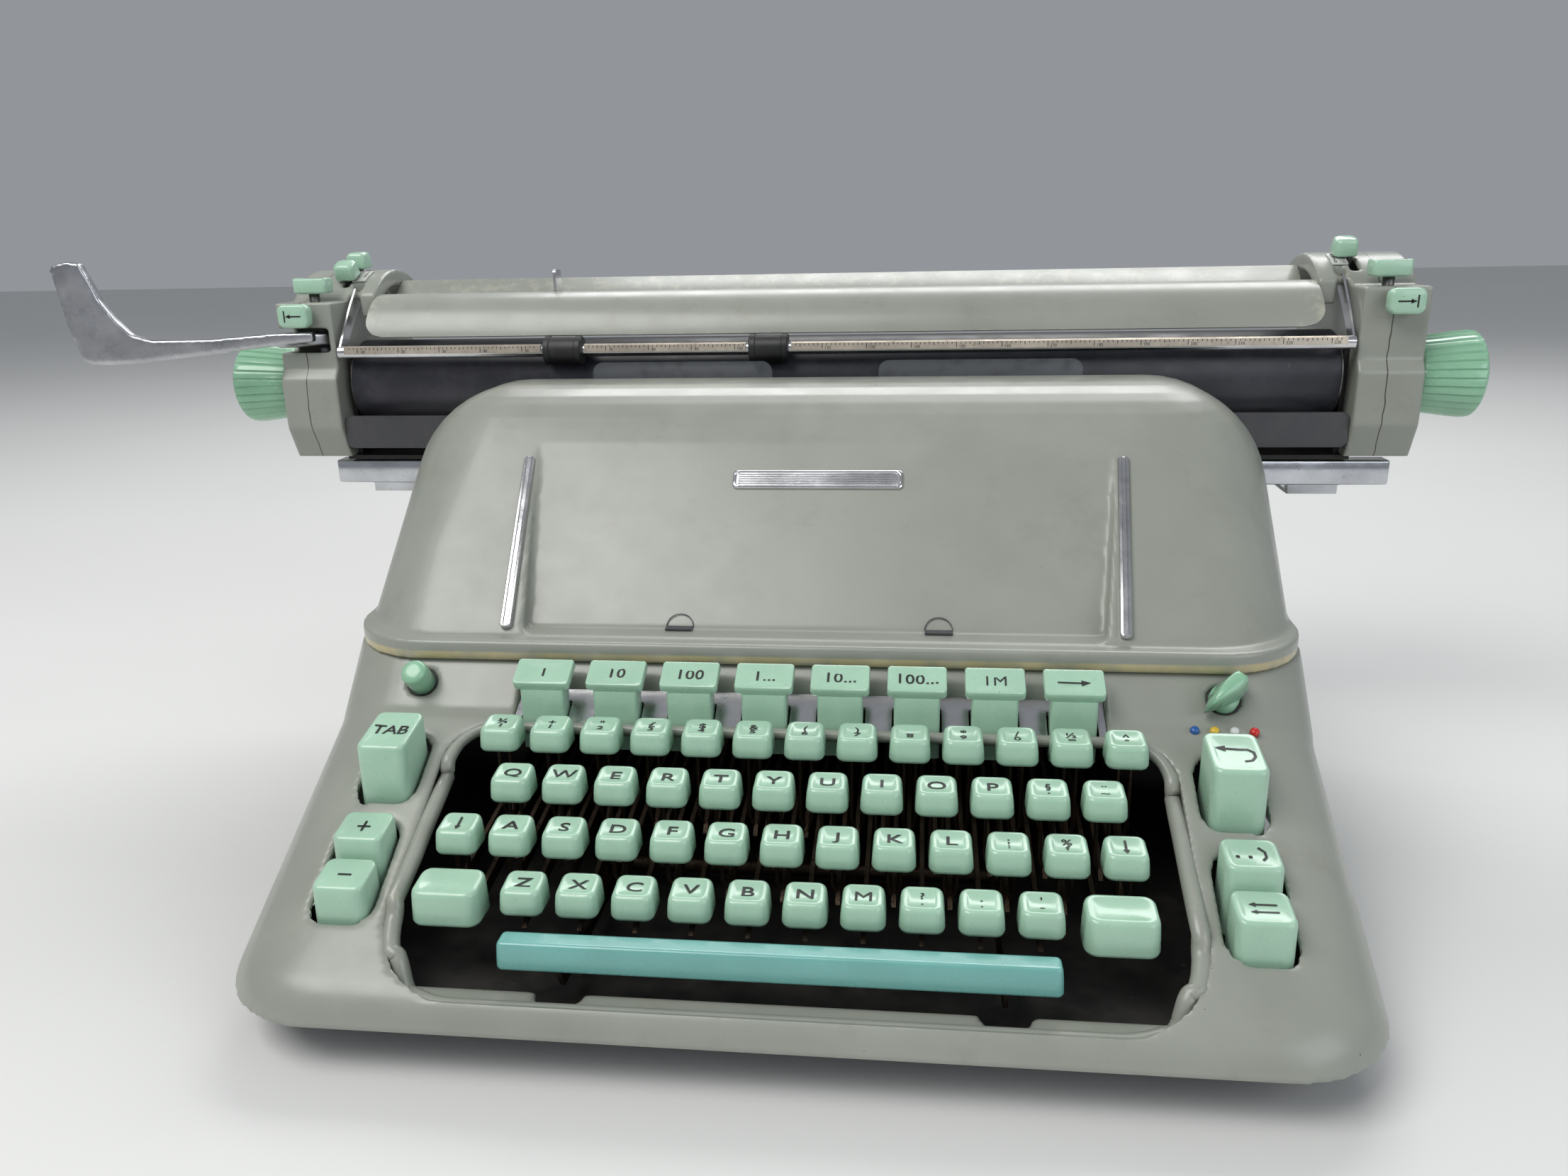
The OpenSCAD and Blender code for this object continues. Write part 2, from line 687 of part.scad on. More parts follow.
module paper_bail() on_carriage() color(steel) {
    bar_x(-bail_half_l, bail_half_l, bail_y, bail_z, bail_rod_r);
    // Ruler strip in front of the rod, interrupted at the rollers
    for (s = [[-ruler_half_l, bail_roller_x[0] - 11], [bail_roller_x[0] + 11, bail_roller_x[1] - 11],
            [bail_roller_x[1] + 11, ruler_half_l]])
        box(s[0], s[1], bail_y - 4, bail_y - 2, bail_z - 3.8, bail_z + 3.8);
    for (sx = [-1, 1])
        difference() {
            hull() {
                bar_x(sx * bail_arm_x - 0.5, sx * bail_arm_x + 0.5, bail_y, bail_z, 3.4);
                bar_x(sx * bail_arm_x - 0.5, sx * bail_arm_x + 0.5, bail_pivot_y, bail_pivot_z, 4);
            }
            bar_x(sx * bail_arm_x - 2, sx * bail_arm_x + 2, bail_pivot_y, bail_pivot_z, bail_pin_r + run_fit);
        }
}

module bail_rollers() on_carriage() color(dark)
    for (x = bail_roller_x)
        difference() {
            bar_x(x - bail_roller_w / 2, x + bail_roller_w / 2, bail_y, bail_z, bail_roller_r);
            bar_x(x - 20, x + 20, bail_y, bail_z, bail_rod_r + run_fit);
        }

// Outline of the return lever seen from the front: distance out from its pivot, and height
lever_outline = [[-2, 211.2], [10.4, 210.4], [40.3, 207.2], [85.2, 203], [100.1, 202.4], [108.7, 203],
    [112.2, 205], [116.2, 219.8], [120.1, 248.5], [119.2, 250.6], [112.2, 252.3], [105.8, 251.5],
    [102.8, 244.3], [99.1, 233.8], [93, 224], [86.7, 217], [77.4, 214], [49.1, 213.8], [16.2, 215.9],
    [-2, 216.2]];

// Long lever with an upturned paddle at its end and a crank to the pin inside the end cover
module return_lever() on_carriage() color(steel)
    translate([-end_in - 10, 0, 0]) {
        translate([0, cover_front - 6.8, 0]) rotate([90, 0, 188.5]) linear_extrude(6) polygon(lever_outline);
        hull() {
            translate([0, lever_pivot_y, 208.5]) cylinder(r = 5, h = 6.5, $fn = 40);
            translate([-14, cover_front - 4.5, 208.5]) cylinder(r = 3, h = 6.5, $fn = 40);
        }
        translate([0, lever_pivot_y, 203]) cylinder(r = lever_pin_r, h = 15, $fn = 40);
    }

module margin_key(sx) {
    x = sx * (end_in + 16);
    translate([x, cover_front - 9.2, 224]) rotate([-90, 0, 0]) linear_extrude(6.4) rounded(16, 11.5, 4);
    translate([x, cover_front - 6, 224]) rotate([-90, 0, 0]) cylinder(r = stem_r, h = 11, $fn = 40);
}

module margin_key_left() on_carriage() color(key_green) margin_key(-1);
module margin_key_right() on_carriage() color(key_green) margin_key(1);

module release_key(sx) {
    x = sx * (end_in + 14);
    block(x - 9, x + 9, release_y - 5, release_y + 5, cover_top + 3.4, cover_top + 12, 2.5);
    translate([x, release_y, cover_top - 9]) cylinder(r = stem_r, h = 14, $fn = 40);
}

module release_key_left() on_carriage() color(key_green) release_key(-1);
module release_key_right() on_carriage() color(key_green) release_key(1);

// Button on a stem that swings along the arched slot; lean is its angle from upright and shift moves the
// button towards the middle of the carriage
module selector(sx, lean, shift) {
    x = sx * (end_in + 4);
    translate([x, arch_y, arch_z]) rotate([lean, 0, 0]) {
        translate([-selector_t / 2, -2, arch_r - 10]) cube([selector_t, 4, 16]);
        translate([-sx * shift, 0, 0]) block(-5.5, 5.5, -5, 5, arch_r + 1.2, arch_r + 9.5, 2.5);
    }
}

module selector_left_front() on_carriage() color(key_green) selector(-1, 25, 0);
module selector_left_rear() on_carriage() color(key_green) selector(-1, 6, 0);
module selector_right() on_carriage() color(key_green) selector(1, 17, 3);

// Key cap, a soft-cornered block with a dished top, its top middle at the origin
module cap(w, d, h) {
    difference() {
        translate([0, 0, -h]) linear_extrude(h + 1) rounded(w, d, 3.4);
        translate([0, 0, 34.6]) rotate([0, 90, 0]) cylinder(r = 35, h = w + 2, center = true, $fn = 90);
    }
}

// Lever from the pivot shaft to the key at y, with its stem up to z_top
module key_lever(x, y, z_top) {
    difference() {
        union() {
            along_x(x - lever_t / 2, x + lever_t / 2) {
                polygon([[y - 4, lever_z(y) - lever_h / 2], [pivot_y, pivot_z - lever_h / 2],
                    [pivot_y, pivot_z + lever_h / 2], [y + 4, lever_z(y + 4) + lever_h / 2],
                    [y + 4, z_top], [y - 4, z_top]]);
                translate([pivot_y, pivot_z]) circle(pivot_boss_r, $fn = 48);
            }
        }
        bar_x(x - 2, x + 2, pivot_y, pivot_z, pivot_r + run_fit);
    }
}

module key(x, y, z, w = cap_w, d = cap_d, h = cap_h, lever_x = undef) {
    translate([x, y, z]) cap(w, d, h);
    key_lever(is_undef(lever_x) ? x : lever_x, y, z - h + 0.5);
}

module key_row(row) {
    for (i = [0 : row_count[row] - 1])
        key(row_x(row, i), row * row_y, key_top_z + row * row_z);
}

module lower_row_keys() place() color(key_green) key_row(0);
module home_row_keys() place() color(key_green) key_row(1);
module upper_row_keys() place() color(key_green) key_row(2);
module number_row_keys() place() color(key_green) key_row(3);

module shift_lock_left() place() color(key_green)
    key(row_x(1, -1), row_y, key_top_z + row_z);

module shift_lock_right() place() color(key_green)
    key(row_x(1, row_count[1]), row_y, key_top_z + row_z);

module shift_keys() place() color(key_green) {
    key(row_x(0, -1.35), -1.5, key_top_z, 24, 16, 13.4, row_x(0, -1));
    key(row_x(0, row_count[0] + 0.3), -1.5, key_top_z, 24, 16, 13.4, row_x(0, row_count[0]));
}

module space_bar() place() color(bar_green) {
    translate([-1.5, -17.6, 32.8]) linear_extrude(9.8) rounded(space_bar_l, 9, 3);
    for (x = space_arm_x)
        difference() {
            along_x(x - space_arm_t / 2, x + space_arm_t / 2) {
                polygon([[-20, 33], [-20, 30], [-17, 25], [60, 21.5], [60, arm_top], [-10.5, arm_top], [-13, 33.2]]);
                translate(space_pivot) circle(5.4, $fn = 48);
            }
            bar_x(x - 2, x + 2, space_pivot[0], space_pivot[1], space_pivot_r + run_fit);
        }
}

// Tall key beside the keyboard: x, y of its top, z of its top, depth of the cap and of its foot
module side_key(x, y0, y1, z_top) {
    difference() {
        union() {
            block(x - side_half_w, x + side_half_w, y0, y1, deck_at(y0) - 14, z_top + 4, 3.2);
            box(x - 3, x + 3, (y0 + y1) / 2 - 3, (y0 + y1) / 2 + 3, max(deck_at(y0) - 24, body_bottom + 8),
                deck_at(y0) - 13);
        }
        translate([x, y0, z_top - 3]) rotate([12, 0, 0]) box(-20, 20, -10, 60, 0, 40);
    }
}

module tab_key() place() color(key_green) side_key(-side_x + 0.5, 34, 57, 87);
module carriage_return_key() place() color(key_green) side_key(side_x, 34, 57, 87);
module plus_key() place() color(key_green) side_key(-side_x + 0.5, 9, 24.6, 63.6);
module minus_key() place() color(key_green) side_key(-side_x + 0.5, -8.4, 7.4, 54.6);
module upper_right_key() place() color(key_green) side_key(side_x, 9, 24.6, 65);
module lower_right_key() place() color(key_green) side_key(side_x, -8.4, 7.4, 56);

module decade_keys() place() color(key_green)
    for (i = [0 : decade_n - 1])
        translate([decade_x(i), 0, 0]) {
            along_x(-decade_stem_w / 2, decade_stem_w / 2)
                polygon([[decade_y - decade_stem_d / 2, 70], [decade_y + decade_stem_d / 2, 70],
                    [decade_y + decade_stem_d / 2, decade_cap_z + 0.7], [decade_y - decade_stem_d / 2, decade_cap_z - 3.5]]);
            translate([0, decade_y + 1.5, decade_cap_z]) rotate([decade_lean, 0, 0]) difference() {
                block(-11, 11, -6.4, 6.4, -2, 3, 1.5);
                translate([0, -20, 46]) rotate([-90, 0, 0]) cylinder(r = 44, h = 40, $fn = 90);
            }
        }

module ribbon_button() place() color(key_green)
    translate([ribbon_x[0], ribbon_y, ribbon_z]) rotate([45, 0, 0]) translate([0, 0, -8])
        cylinder(r = 5.2, h = 21, $fn = 48);

// Pointer knob that turns over four coloured dots
module ribbon_lever() place() color(key_green)
    translate([ribbon_x[1], ribbon_y, ribbon_z]) rotate([45, 0, 0]) {
        translate([0, 0, -8]) cylinder(r = 5.2, h = 14, $fn = 48);
        translate([0, 0, 5]) rotate(-pointer_turn) linear_extrude(9)
            polygon([[-2, -11], [5, 4], [4.4, 7.6], [-3.6, 7.6], [-5, 4]]);
    }

base_shell();
hood();
rear_cover();
bottom_pan();
rubber_feet();
hood_strips();
badge();
main_frame();
carriage_rails();
decade_guide();
ribbon_dots();
key_pivot();
type_segment();
typebars();
type_guide();
ribbon_spool_left();
ribbon_spool_right();
carriage_bed();
left_end_cover();
right_end_cover();
paper_deflector();
paper_table();
front_pan();
feed_rollers();
scale_plates();
paper_guide();
paper_support_left();
paper_support_right();
platen();
knob_left();
knob_right();
paper_bail();
bail_rollers();
return_lever();
margin_key_left();
margin_key_right();
release_key_left();
release_key_right();
selector_left_front();
selector_left_rear();
selector_right();
space_bar();
shift_keys();
shift_lock_left();
shift_lock_right();
tab_key();
carriage_return_key();
plus_key();
minus_key();
upper_right_key();
lower_right_key();
decade_keys();
number_row_keys();
upper_row_keys();
home_row_keys();
lower_row_keys();
ribbon_button();
ribbon_lever();
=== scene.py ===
import bpy
import bmesh
import math
from mathutils import Vector, Matrix


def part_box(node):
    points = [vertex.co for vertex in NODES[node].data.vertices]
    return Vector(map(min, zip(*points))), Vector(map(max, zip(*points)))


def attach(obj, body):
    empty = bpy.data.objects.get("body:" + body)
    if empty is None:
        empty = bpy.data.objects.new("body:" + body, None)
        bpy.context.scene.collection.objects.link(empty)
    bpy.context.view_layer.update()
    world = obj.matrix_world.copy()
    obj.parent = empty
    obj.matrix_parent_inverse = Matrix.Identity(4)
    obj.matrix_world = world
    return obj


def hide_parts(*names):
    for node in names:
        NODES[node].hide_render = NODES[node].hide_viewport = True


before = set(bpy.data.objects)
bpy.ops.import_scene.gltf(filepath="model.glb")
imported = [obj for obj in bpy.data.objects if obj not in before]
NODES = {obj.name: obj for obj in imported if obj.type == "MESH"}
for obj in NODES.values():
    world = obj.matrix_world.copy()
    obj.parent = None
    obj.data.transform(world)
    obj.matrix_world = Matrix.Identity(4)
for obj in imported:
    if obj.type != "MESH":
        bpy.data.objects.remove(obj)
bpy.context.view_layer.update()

# ---------------------------------------------------------------- places
# Millimetres in the working frame of the CAD; X0, Y0 and C0 carry them into the row frame.
base_lo, base_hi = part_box("base_shell")
plat_lo, plat_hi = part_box("platen")
X0 = (base_lo[0] + base_hi[0]) / 2
Y0 = base_hi[1] - 0.330
C0 = (plat_lo[0] + plat_hi[0]) / 2
DECK_Z, DECK_ANGLE = 45.8, 28.8


def P(x, y, z):
    """A point of the body, from working millimetres to metres in the row frame."""
    return Vector((X0 + x / 1000, Y0 + y / 1000, z / 1000))


def C(x, y, z):
    """A point of the carriage, whose middle is the platen's and not the body's."""
    return Vector((C0 + x / 1000, Y0 + y / 1000, z / 1000))


def deck_at(y):
    """Height of the sloping keyboard deck, in millimetres."""
    return DECK_Z + y * math.tan(math.radians(DECK_ANGLE))


def lin(r, g, b):
    """Linear colour from 0 to 255 display values."""
    f = lambda c: c / 12.92 if c <= 0.04045 else ((c + 0.055) / 1.055) ** 2.4
    return (f(r / 255), f(g / 255), f(b / 255), 1)


# ---------------------------------------------------------------- materials
class Nodes:
    """Small helper around a node tree."""

    def __init__(self, name):
        self.mat = bpy.data.materials.new(name)
        self.mat.use_nodes = True
        self.t = self.mat.node_tree
        self.b = self.t.nodes["Principled BSDF"]
        self.co = self.t.nodes.new("ShaderNodeTexCoord").outputs["Object"]

    def new(self, kind, **inputs):
        n = self.t.nodes.new(kind)
        for k, v in inputs.items():
            self.put(n, k.replace("_", " "), v)
        return n

    def put(self, n, key, v):
        s = n.inputs[key]
        if isinstance(v, bpy.types.NodeSocket):
            self.t.links.new(v, s)
        else:
            s.default_value = v

    def noise(self, scale, detail=3.0, rough=0.55, stretch=None):
        n = self.new("ShaderNodeTexNoise", Scale=scale, Detail=detail, Roughness=rough)
        co = self.co
        if stretch:
            m = self.new("ShaderNodeMapping")
            m.inputs["Scale"].default_value = stretch
            self.t.links.new(co, m.inputs["Vector"])
            co = m.outputs["Vector"]
        self.t.links.new(co, n.inputs["Vector"])
        return n.outputs["Fac"]

    def ramp(self, fac, a, b, lo=0.0, hi=1.0):
        n = self.new("ShaderNodeMapRange")
        self.t.links.new(fac, n.inputs["Value"])
        for k, v in (("From Min", a), ("From Max", b), ("To Min", lo), ("To Max", hi)):
            n.inputs[k].default_value = v
        return n.outputs["Result"]

    def math(self, op, a, b=0.0):
        n = self.t.nodes.new("ShaderNodeMath")
        n.operation = op
        for i, v in enumerate((a, b)):
            if isinstance(v, bpy.types.NodeSocket):
                self.t.links.new(v, n.inputs[i])
            else:
                n.inputs[i].default_value = v
        return n.outputs[0]

    def mix(self, fac, a, b):
        n = self.t.nodes.new("ShaderNodeMix")
        n.data_type = "RGBA"
        for key, v in ((0, fac), (6, a), (7, b)):
            if isinstance(v, bpy.types.NodeSocket):
                self.t.links.new(v, n.inputs[key])
            else:
                n.inputs[key].default_value = v
        return n.outputs[2]

    def edges(self, lo=0.53, hi=0.62):
        g = self.t.nodes.new("ShaderNodeNewGeometry")
        return self.ramp(g.outputs["Pointiness"], lo, hi)

    def axis(self, i):
        n = self.t.nodes.new("ShaderNodeSeparateXYZ")
        self.t.links.new(self.co, n.inputs[0])
        return n.outputs[i]

    def bump(self, height, strength=0.2, distance=0.0005):
        n = self.new("ShaderNodeBump", Strength=strength, Distance=distance, Height=height)
        self.t.links.new(n.outputs["Normal"], self.b.inputs["Normal"])

    def set(self, **kw):
        for k, v in kw.items():
            self.put(self.b, k.replace("_", " "), v)
        return self.mat


def shade(c, k):
    return (c[0] * k, c[1] * k, c[2] * k, 1)


def paint(name, col, seam_x=None, lip=None):
    """Satin enamel with soft mottling, dark chips that crowd on the edges, fine orange peel, and, where lip
    is given, a painted highlight band between those two heights.
    """
    n = Nodes(name)
    tone = n.mix(n.ramp(n.noise(14, 4), 0.3, 0.7), shade(col, 0.9), shade(col, 1.05))
    grime = n.ramp(n.noise(38, 6, 0.7), 0.56, 0.82, 0, 0.35)
    tone = n.mix(grime, tone, shade(lin(128, 122, 104), 0.8))
    edge = n.edges()
    rub = n.math("MULTIPLY", edge, n.ramp(n.noise(160, 5, 0.7), 0.5, 0.62))
    tone = n.mix(n.math("MULTIPLY", rub, 0.55), tone, lin(196, 190, 170))
    chip = n.ramp(n.noise(420, 3, 0.6), 0.735, 0.75)
    crowd = n.ramp(n.noise(26, 2), 0.5, 0.62)
    chip = n.math("MULTIPLY", chip, n.math("MAXIMUM", crowd, edge))
    tone = n.mix(chip, tone, lin(52, 48, 44))
    if lip:
        # Painted highlight: a warm pale band across the shell between the two heights in lip, standing in for
        # a bright line of light
        z = n.axis(2)
        painted_highlight = n.math("MULTIPLY", n.ramp(z, lip[0], lip[0] + 0.0006), n.ramp(z, lip[1], lip[1] - 0.0008))
        tone = n.mix(n.math("MULTIPLY", painted_highlight, n.ramp(n.noise(90, 3), 0.35, 0.6, 0.35, 0.85)), tone,
                     lin(192, 178, 132))
    height = n.noise(1500, 2)
    if seam_x is not None:
        wob = n.ramp(n.noise(60, 2), 0.3, 0.7, -0.0006, 0.0006)
        d = n.math("ABSOLUTE", n.math("ADD", n.math("SUBTRACT", n.axis(0), seam_x), wob))
        line = n.ramp(d, 0.00035, 0.00015)
        tone = n.mix(line, tone, lin(58, 54, 48))
        height = n.math("SUBTRACT", height, line)
    n.bump(height, 0.09, 0.0003)
    return n.set(Base_Color=tone, Roughness=n.ramp(n.noise(55, 4), 0.3, 0.7, 0.27, 0.42), Coat_Weight=0.25,
                 Coat_Roughness=0.22)


def plastic(name, col, dark=0.8):
    """Hard glossy key plastic, dulled by fingers, with patches of dirt and dark specks."""
    n = Nodes(name)
    tone = n.mix(n.ramp(n.noise(60, 3), 0.3, 0.7), shade(col, 0.94), shade(col, 1.04))
    dirt = n.ramp(n.noise(240, 6, 0.75), 0.6, 0.78, 0, 0.45)
    tone = n.mix(dirt, tone, shade(col, dark * 0.72))
    speck = n.ramp(n.noise(900, 2), 0.76, 0.78, 0, 0.8)
    tone = n.mix(speck, tone, lin(70, 72, 60))
    n.bump(n.noise(700, 3), 0.06, 0.0003)
    return n.set(Base_Color=tone, Roughness=n.ramp(n.noise(130, 5), 0.3, 0.7, 0.16, 0.34), Coat_Weight=0.35,
                 Coat_Roughness=0.08, Subsurface_Weight=0.04, Subsurface_Scale=0.004)


def metal(name, col, rough=(0.12, 0.3), pit=lin(70, 60, 48), pits=(0.66, 0.72), grain=(1, 1, 1)):
    """Plated or polished metal with rubbed patches, fine scratches and pitting."""
    n = Nodes(name)
    tone = n.mix(n.ramp(n.noise(45, 5, 0.65), 0.35, 0.7), col, shade(col, 0.72))
    spot = n.ramp(n.noise(650, 5, 0.7), pits[0], pits[1])
    tone = n.mix(spot, tone, pit)
    scratch = n.noise(900, 3, 0.6, grain)
    n.bump(n.math("ADD", n.math("MULTIPLY", scratch, 0.6), spot), 0.12, 0.0002)
    r = n.math("ADD", n.ramp(n.noise(70, 5, 0.7), 0.3, 0.7, rough[0], rough[1]),
               n.math("MULTIPLY", spot, 0.35))
    return n.set(Base_Color=tone, Metallic=1.0, Roughness=r)


def dull(name, col, rough=(0.45, 0.7), dust=lin(110, 104, 96), amount=0.35, fine=500, metallic=0.0):
    """Dark rubber, painted steel or plastic with dust and scuffs."""
    n = Nodes(name)
    tone = n.mix(n.ramp(n.noise(40, 5, 0.7), 0.45, 0.8, 0, amount), col, dust)
    tone = n.mix(n.ramp(n.noise(300, 4, 0.7, (1, 1, 0.15)), 0.66, 0.72, 0, amount), tone, dust)
    n.bump(n.noise(fine, 3), 0.14, 0.0003)
    return n.set(Base_Color=tone, Roughness=n.ramp(n.noise(80, 4), 0.3, 0.7, rough[0], rough[1]),
                 Metallic=metallic)


BODY = lin(146, 149, 140)
CAP = lin(164, 200, 176)
M = {}
M["paint"] = paint("body_enamel", BODY)
# The hood's enamel carries a painted highlight band between 98.5 and 103.5 mm high
M["hood"] = paint("hood_enamel_painted_highlight", BODY, lip=(0.0985, 0.1035))
M["cover_l"] = paint("left_cover_enamel", BODY, seam_x=C(-262, 0, 0).x)
M["cover_r"] = paint("right_cover_enamel", BODY, seam_x=C(259, 0, 0).x)
M["cap"] = plastic("key_cap_plastic", CAP)
M["bar"] = plastic("space_bar_plastic", lin(112, 172, 165))
M["knob"] = plastic("knob_plastic", lin(140, 188, 156), 0.7)
M["chrome"] = metal("chrome_plate", lin(222, 222, 224))
M["rail"] = metal("rail_chrome", lin(205, 207, 212), (0.08, 0.25), grain=(0.05, 1, 1))
M["alu"] = metal("lever_aluminium", lin(188, 189, 193), (0.2, 0.42), lin(96, 88, 74), (0.68, 0.76))
M["steel"] = metal("lever_steel", lin(74, 64, 55), (0.35, 0.6), lin(58, 40, 28), (0.5, 0.68))
M["basket"] = metal("basket_steel", lin(120, 118, 116), (0.3, 0.5), lin(60, 50, 40), (0.56, 0.7))
M["rubber"] = dull("platen_rubber", lin(34, 34, 42), (0.36, 0.5), lin(120, 120, 128), 0.16)
M["black"] = dull("black_rubber", lin(24, 24, 26), (0.4, 0.55), lin(90, 88, 84), 0.2)
# Dark enamel of the front pan, also used on the panel notches as painted shade
M["pan"] = dull("dark_enamel_and_painted_shade", lin(62, 62, 66), (0.35, 0.5), lin(110, 106, 98), 0.2)
# Black enamel of the under parts, also used on the rings round the ribbon controls as painted shade
M["under"] = dull("black_enamel_and_painted_shade", lin(22, 22, 22), (0.5, 0.7), lin(92, 84, 74), 0.3)
M["ribbon"] = dull("ribbon_cloth", lin(20, 19, 22), (0.7, 0.9), lin(60, 56, 60), 0.3, 2200)
M["ink"] = dull("legend_ink", lin(26, 26, 24), (0.4, 0.6), lin(60, 64, 58), 0.2)
M["scale"] = dull("scale_enamel", lin(206, 206, 202), (0.35, 0.5), lin(150, 142, 126), 0.45, 900, 0.2)
M["ruler"] = metal("ruler_strip", lin(222, 210, 194), (0.3, 0.5), lin(140, 106, 82), (0.58, 0.74))
M["blue"] = plastic("blue_enamel", lin(38, 92, 160))
M["gold"] = plastic("yellow_enamel", lin(214, 178, 60))
M["white"] = plastic("white_enamel", lin(206, 208, 206))
M["red"] = plastic("red_enamel", lin(196, 40, 36))
card = Nodes("clear_card_sheet")
card.bump(card.noise(200, 4), 0.1, 0.0004)
M["clear"] = card.set(Base_Color=card.mix(card.ramp(card.noise(160, 5), 0.5, 0.75), lin(188, 194, 198),
                                          lin(120, 122, 122)),
                      Roughness=card.ramp(card.noise(90, 4), 0.3, 0.7, 0.06, 0.3), Alpha=0.09)


# ---------------------------------------------------------------- mesh helpers
def new_mesh(name, verts, faces, mat, body, smooth=True, replaces=()):
    me = bpy.data.meshes.new(name)
    me.from_pydata([tuple(v) for v in verts], [], faces)
    me.validate()
    me.update()
    ob = bpy.data.objects.new(name, me)
    bpy.context.collection.objects.link(ob)
    return dress(ob, mat, body, smooth, replaces)


def dress(ob, mat, body, smooth=True, replaces=()):
    if mat:
        ob.data.materials.clear()
        ob.data.materials.append(M[mat])
    if smooth:
        for p in ob.data.polygons:
            p.use_smooth = True
        if smooth == "angle":
            ob.data.set_sharp_from_angle(angle=math.radians(38))
    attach(ob, body)
    for r in replaces:
        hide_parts(r)
    return ob


class Bag:
    """Collects many closed pieces into one mesh."""

    def __init__(self):
        self.v, self.f = [], []

    def add(self, verts, faces):
        n = len(self.v)
        self.v += [Vector(v) for v in verts]
        self.f += [tuple(i + n for i in f) for f in faces]

    def rings(self, rings, cap0=True, cap1=True, closed=True):
        """Skins a list of rings with the same number of points."""
        n = len(self.v)
        k = len(rings[0])
        for r in rings:
            self.v += [Vector(p) for p in r]
        for i in range(len(rings) - 1):
            for j in range(k if closed else k - 1):
                a, b = n + i * k + j, n + i * k + (j + 1) % k
                self.f.append((a, b, b + k, a + k))
        for on, i, flip in ((cap0, 0, True), (cap1, len(rings) - 1, False)):
            if on:
                mid = sum((Vector(p) for p in rings[i]), Vector()) / k
                c = len(self.v)
                self.v.append(mid)
                for j in range(k):
                    a, b = n + i * k + j, n + i * k + (j + 1) % k
                    self.f.append((b, a, c) if flip else (a, b, c))

    def box(self, lo, hi):
        (a, b, c), (d, e, f) = lo, hi
        self.add([(a, b, c), (d, b, c), (d, e, c), (a, e, c), (a, b, f), (d, b, f), (d, e, f), (a, e, f)],
                 [(0, 3, 2, 1), (4, 5, 6, 7), (0, 1, 5, 4), (1, 2, 6, 5), (2, 3, 7, 6), (3, 0, 4, 7)])

    def turn(self, profile, place, n=48, flute=None):
        """Turns (distance along, radius) pairs about an axis; place(along, u, v) gives the point."""
        rings = []
        for s, r in profile:
            ring = []
            for j in range(n):
                a = 2 * math.pi * j / n
                q = r * (flute(j, s) if flute else 1)
                ring.append(place(s, q * math.cos(a), q * math.sin(a)))
            rings.append(ring)
        self.rings(rings)

    def make(self, name, mat, body, smooth=True, replaces=(), slot=None, bevel=0, xf=None):
        vs = [xf @ v for v in self.v] if xf else self.v
        ob = new_mesh(name, vs, self.f, mat, body, smooth, replaces)
        if bevel:
            soften(ob, bevel)
        return ob


def soften(ob, width, segments=2, angle=40):
    m = ob.modifiers.new("bevel", "BEVEL")
    m.width = width
    m.segments = segments
    m.limit_method = "ANGLE"
    m.angle_limit = math.radians(angle)
    m.harden_normals = False
    apply_all(ob)
    for p in ob.data.polygons:
        p.use_smooth = True
    ob.data.set_sharp_from_angle(angle=math.radians(50))


def apply_all(ob):
    dg = bpy.context.evaluated_depsgraph_get()
    me = bpy.data.meshes.new_from_object(ob.evaluated_get(dg))
    ob.modifiers.clear()
    ob.data = me


def rr(w, d, r, n=6):
    """Points round a rounded rectangle, 4 * (n + 1) of them."""
    r = min(r, w / 2 - 0.01, d / 2 - 0.01)
    pts = []
    for i, (sx, sy) in enumerate(((1, 1), (-1, 1), (-1, -1), (1, -1))):
        for k in range(n + 1):
            a = math.pi / 2 * (i + k / n)
            pts.append((sx * (w / 2 - r) + r * math.cos(a), sy * (d / 2 - r) + r * math.sin(a)))
    return pts


def rr_filled(w, d, r, n=6, extra=6):
    """The same loop with points along its straight sides, so that a dished top follows its curve."""
    pts, out = rr(w, d, r, n), []
    for i in range(4):
        corner = pts[i * (n + 1):(i + 1) * (n + 1)]
        (xa, ya), (xb, yb) = corner[-1], pts[(i + 1) * (n + 1) % len(pts)]
        out += corner + [(xa + (xb - xa) * k / (extra + 1), ya + (yb - ya) * k / (extra + 1))
                         for k in range(1, extra + 1)]
    return out


def cad_copy(nodes, name, mat, body, voxel=0, smooth=0, bevel=0, ratio=0.0):
    """A softened copy of one CAD node that stands for it."""
    src = NODES[nodes]
    me = src.data.copy()
    me.transform(src.matrix_world)
    ob = bpy.data.objects.new(name, me)
    bpy.context.collection.objects.link(ob)
    bm = bmesh.new()
    bm.from_mesh(me)
    bmesh.ops.remove_doubles(bm, verts=bm.verts, dist=1e-6)
    bm.to_mesh(me)
    bm.free()
    if voxel:
        m = ob.modifiers.new("remesh", "REMESH")
        m.mode = "VOXEL"
        m.voxel_size = voxel
        if smooth:
            s = ob.modifiers.new("smooth", "SMOOTH")
            s.factor = 0.5
            s.iterations = smooth
        if ratio:
            d = ob.modifiers.new("decimate", "DECIMATE")
            d.ratio = ratio
        apply_all(ob)
    dress(ob, mat, body, True, (nodes,))
    if bevel:
        soften(ob, bevel)
    return ob


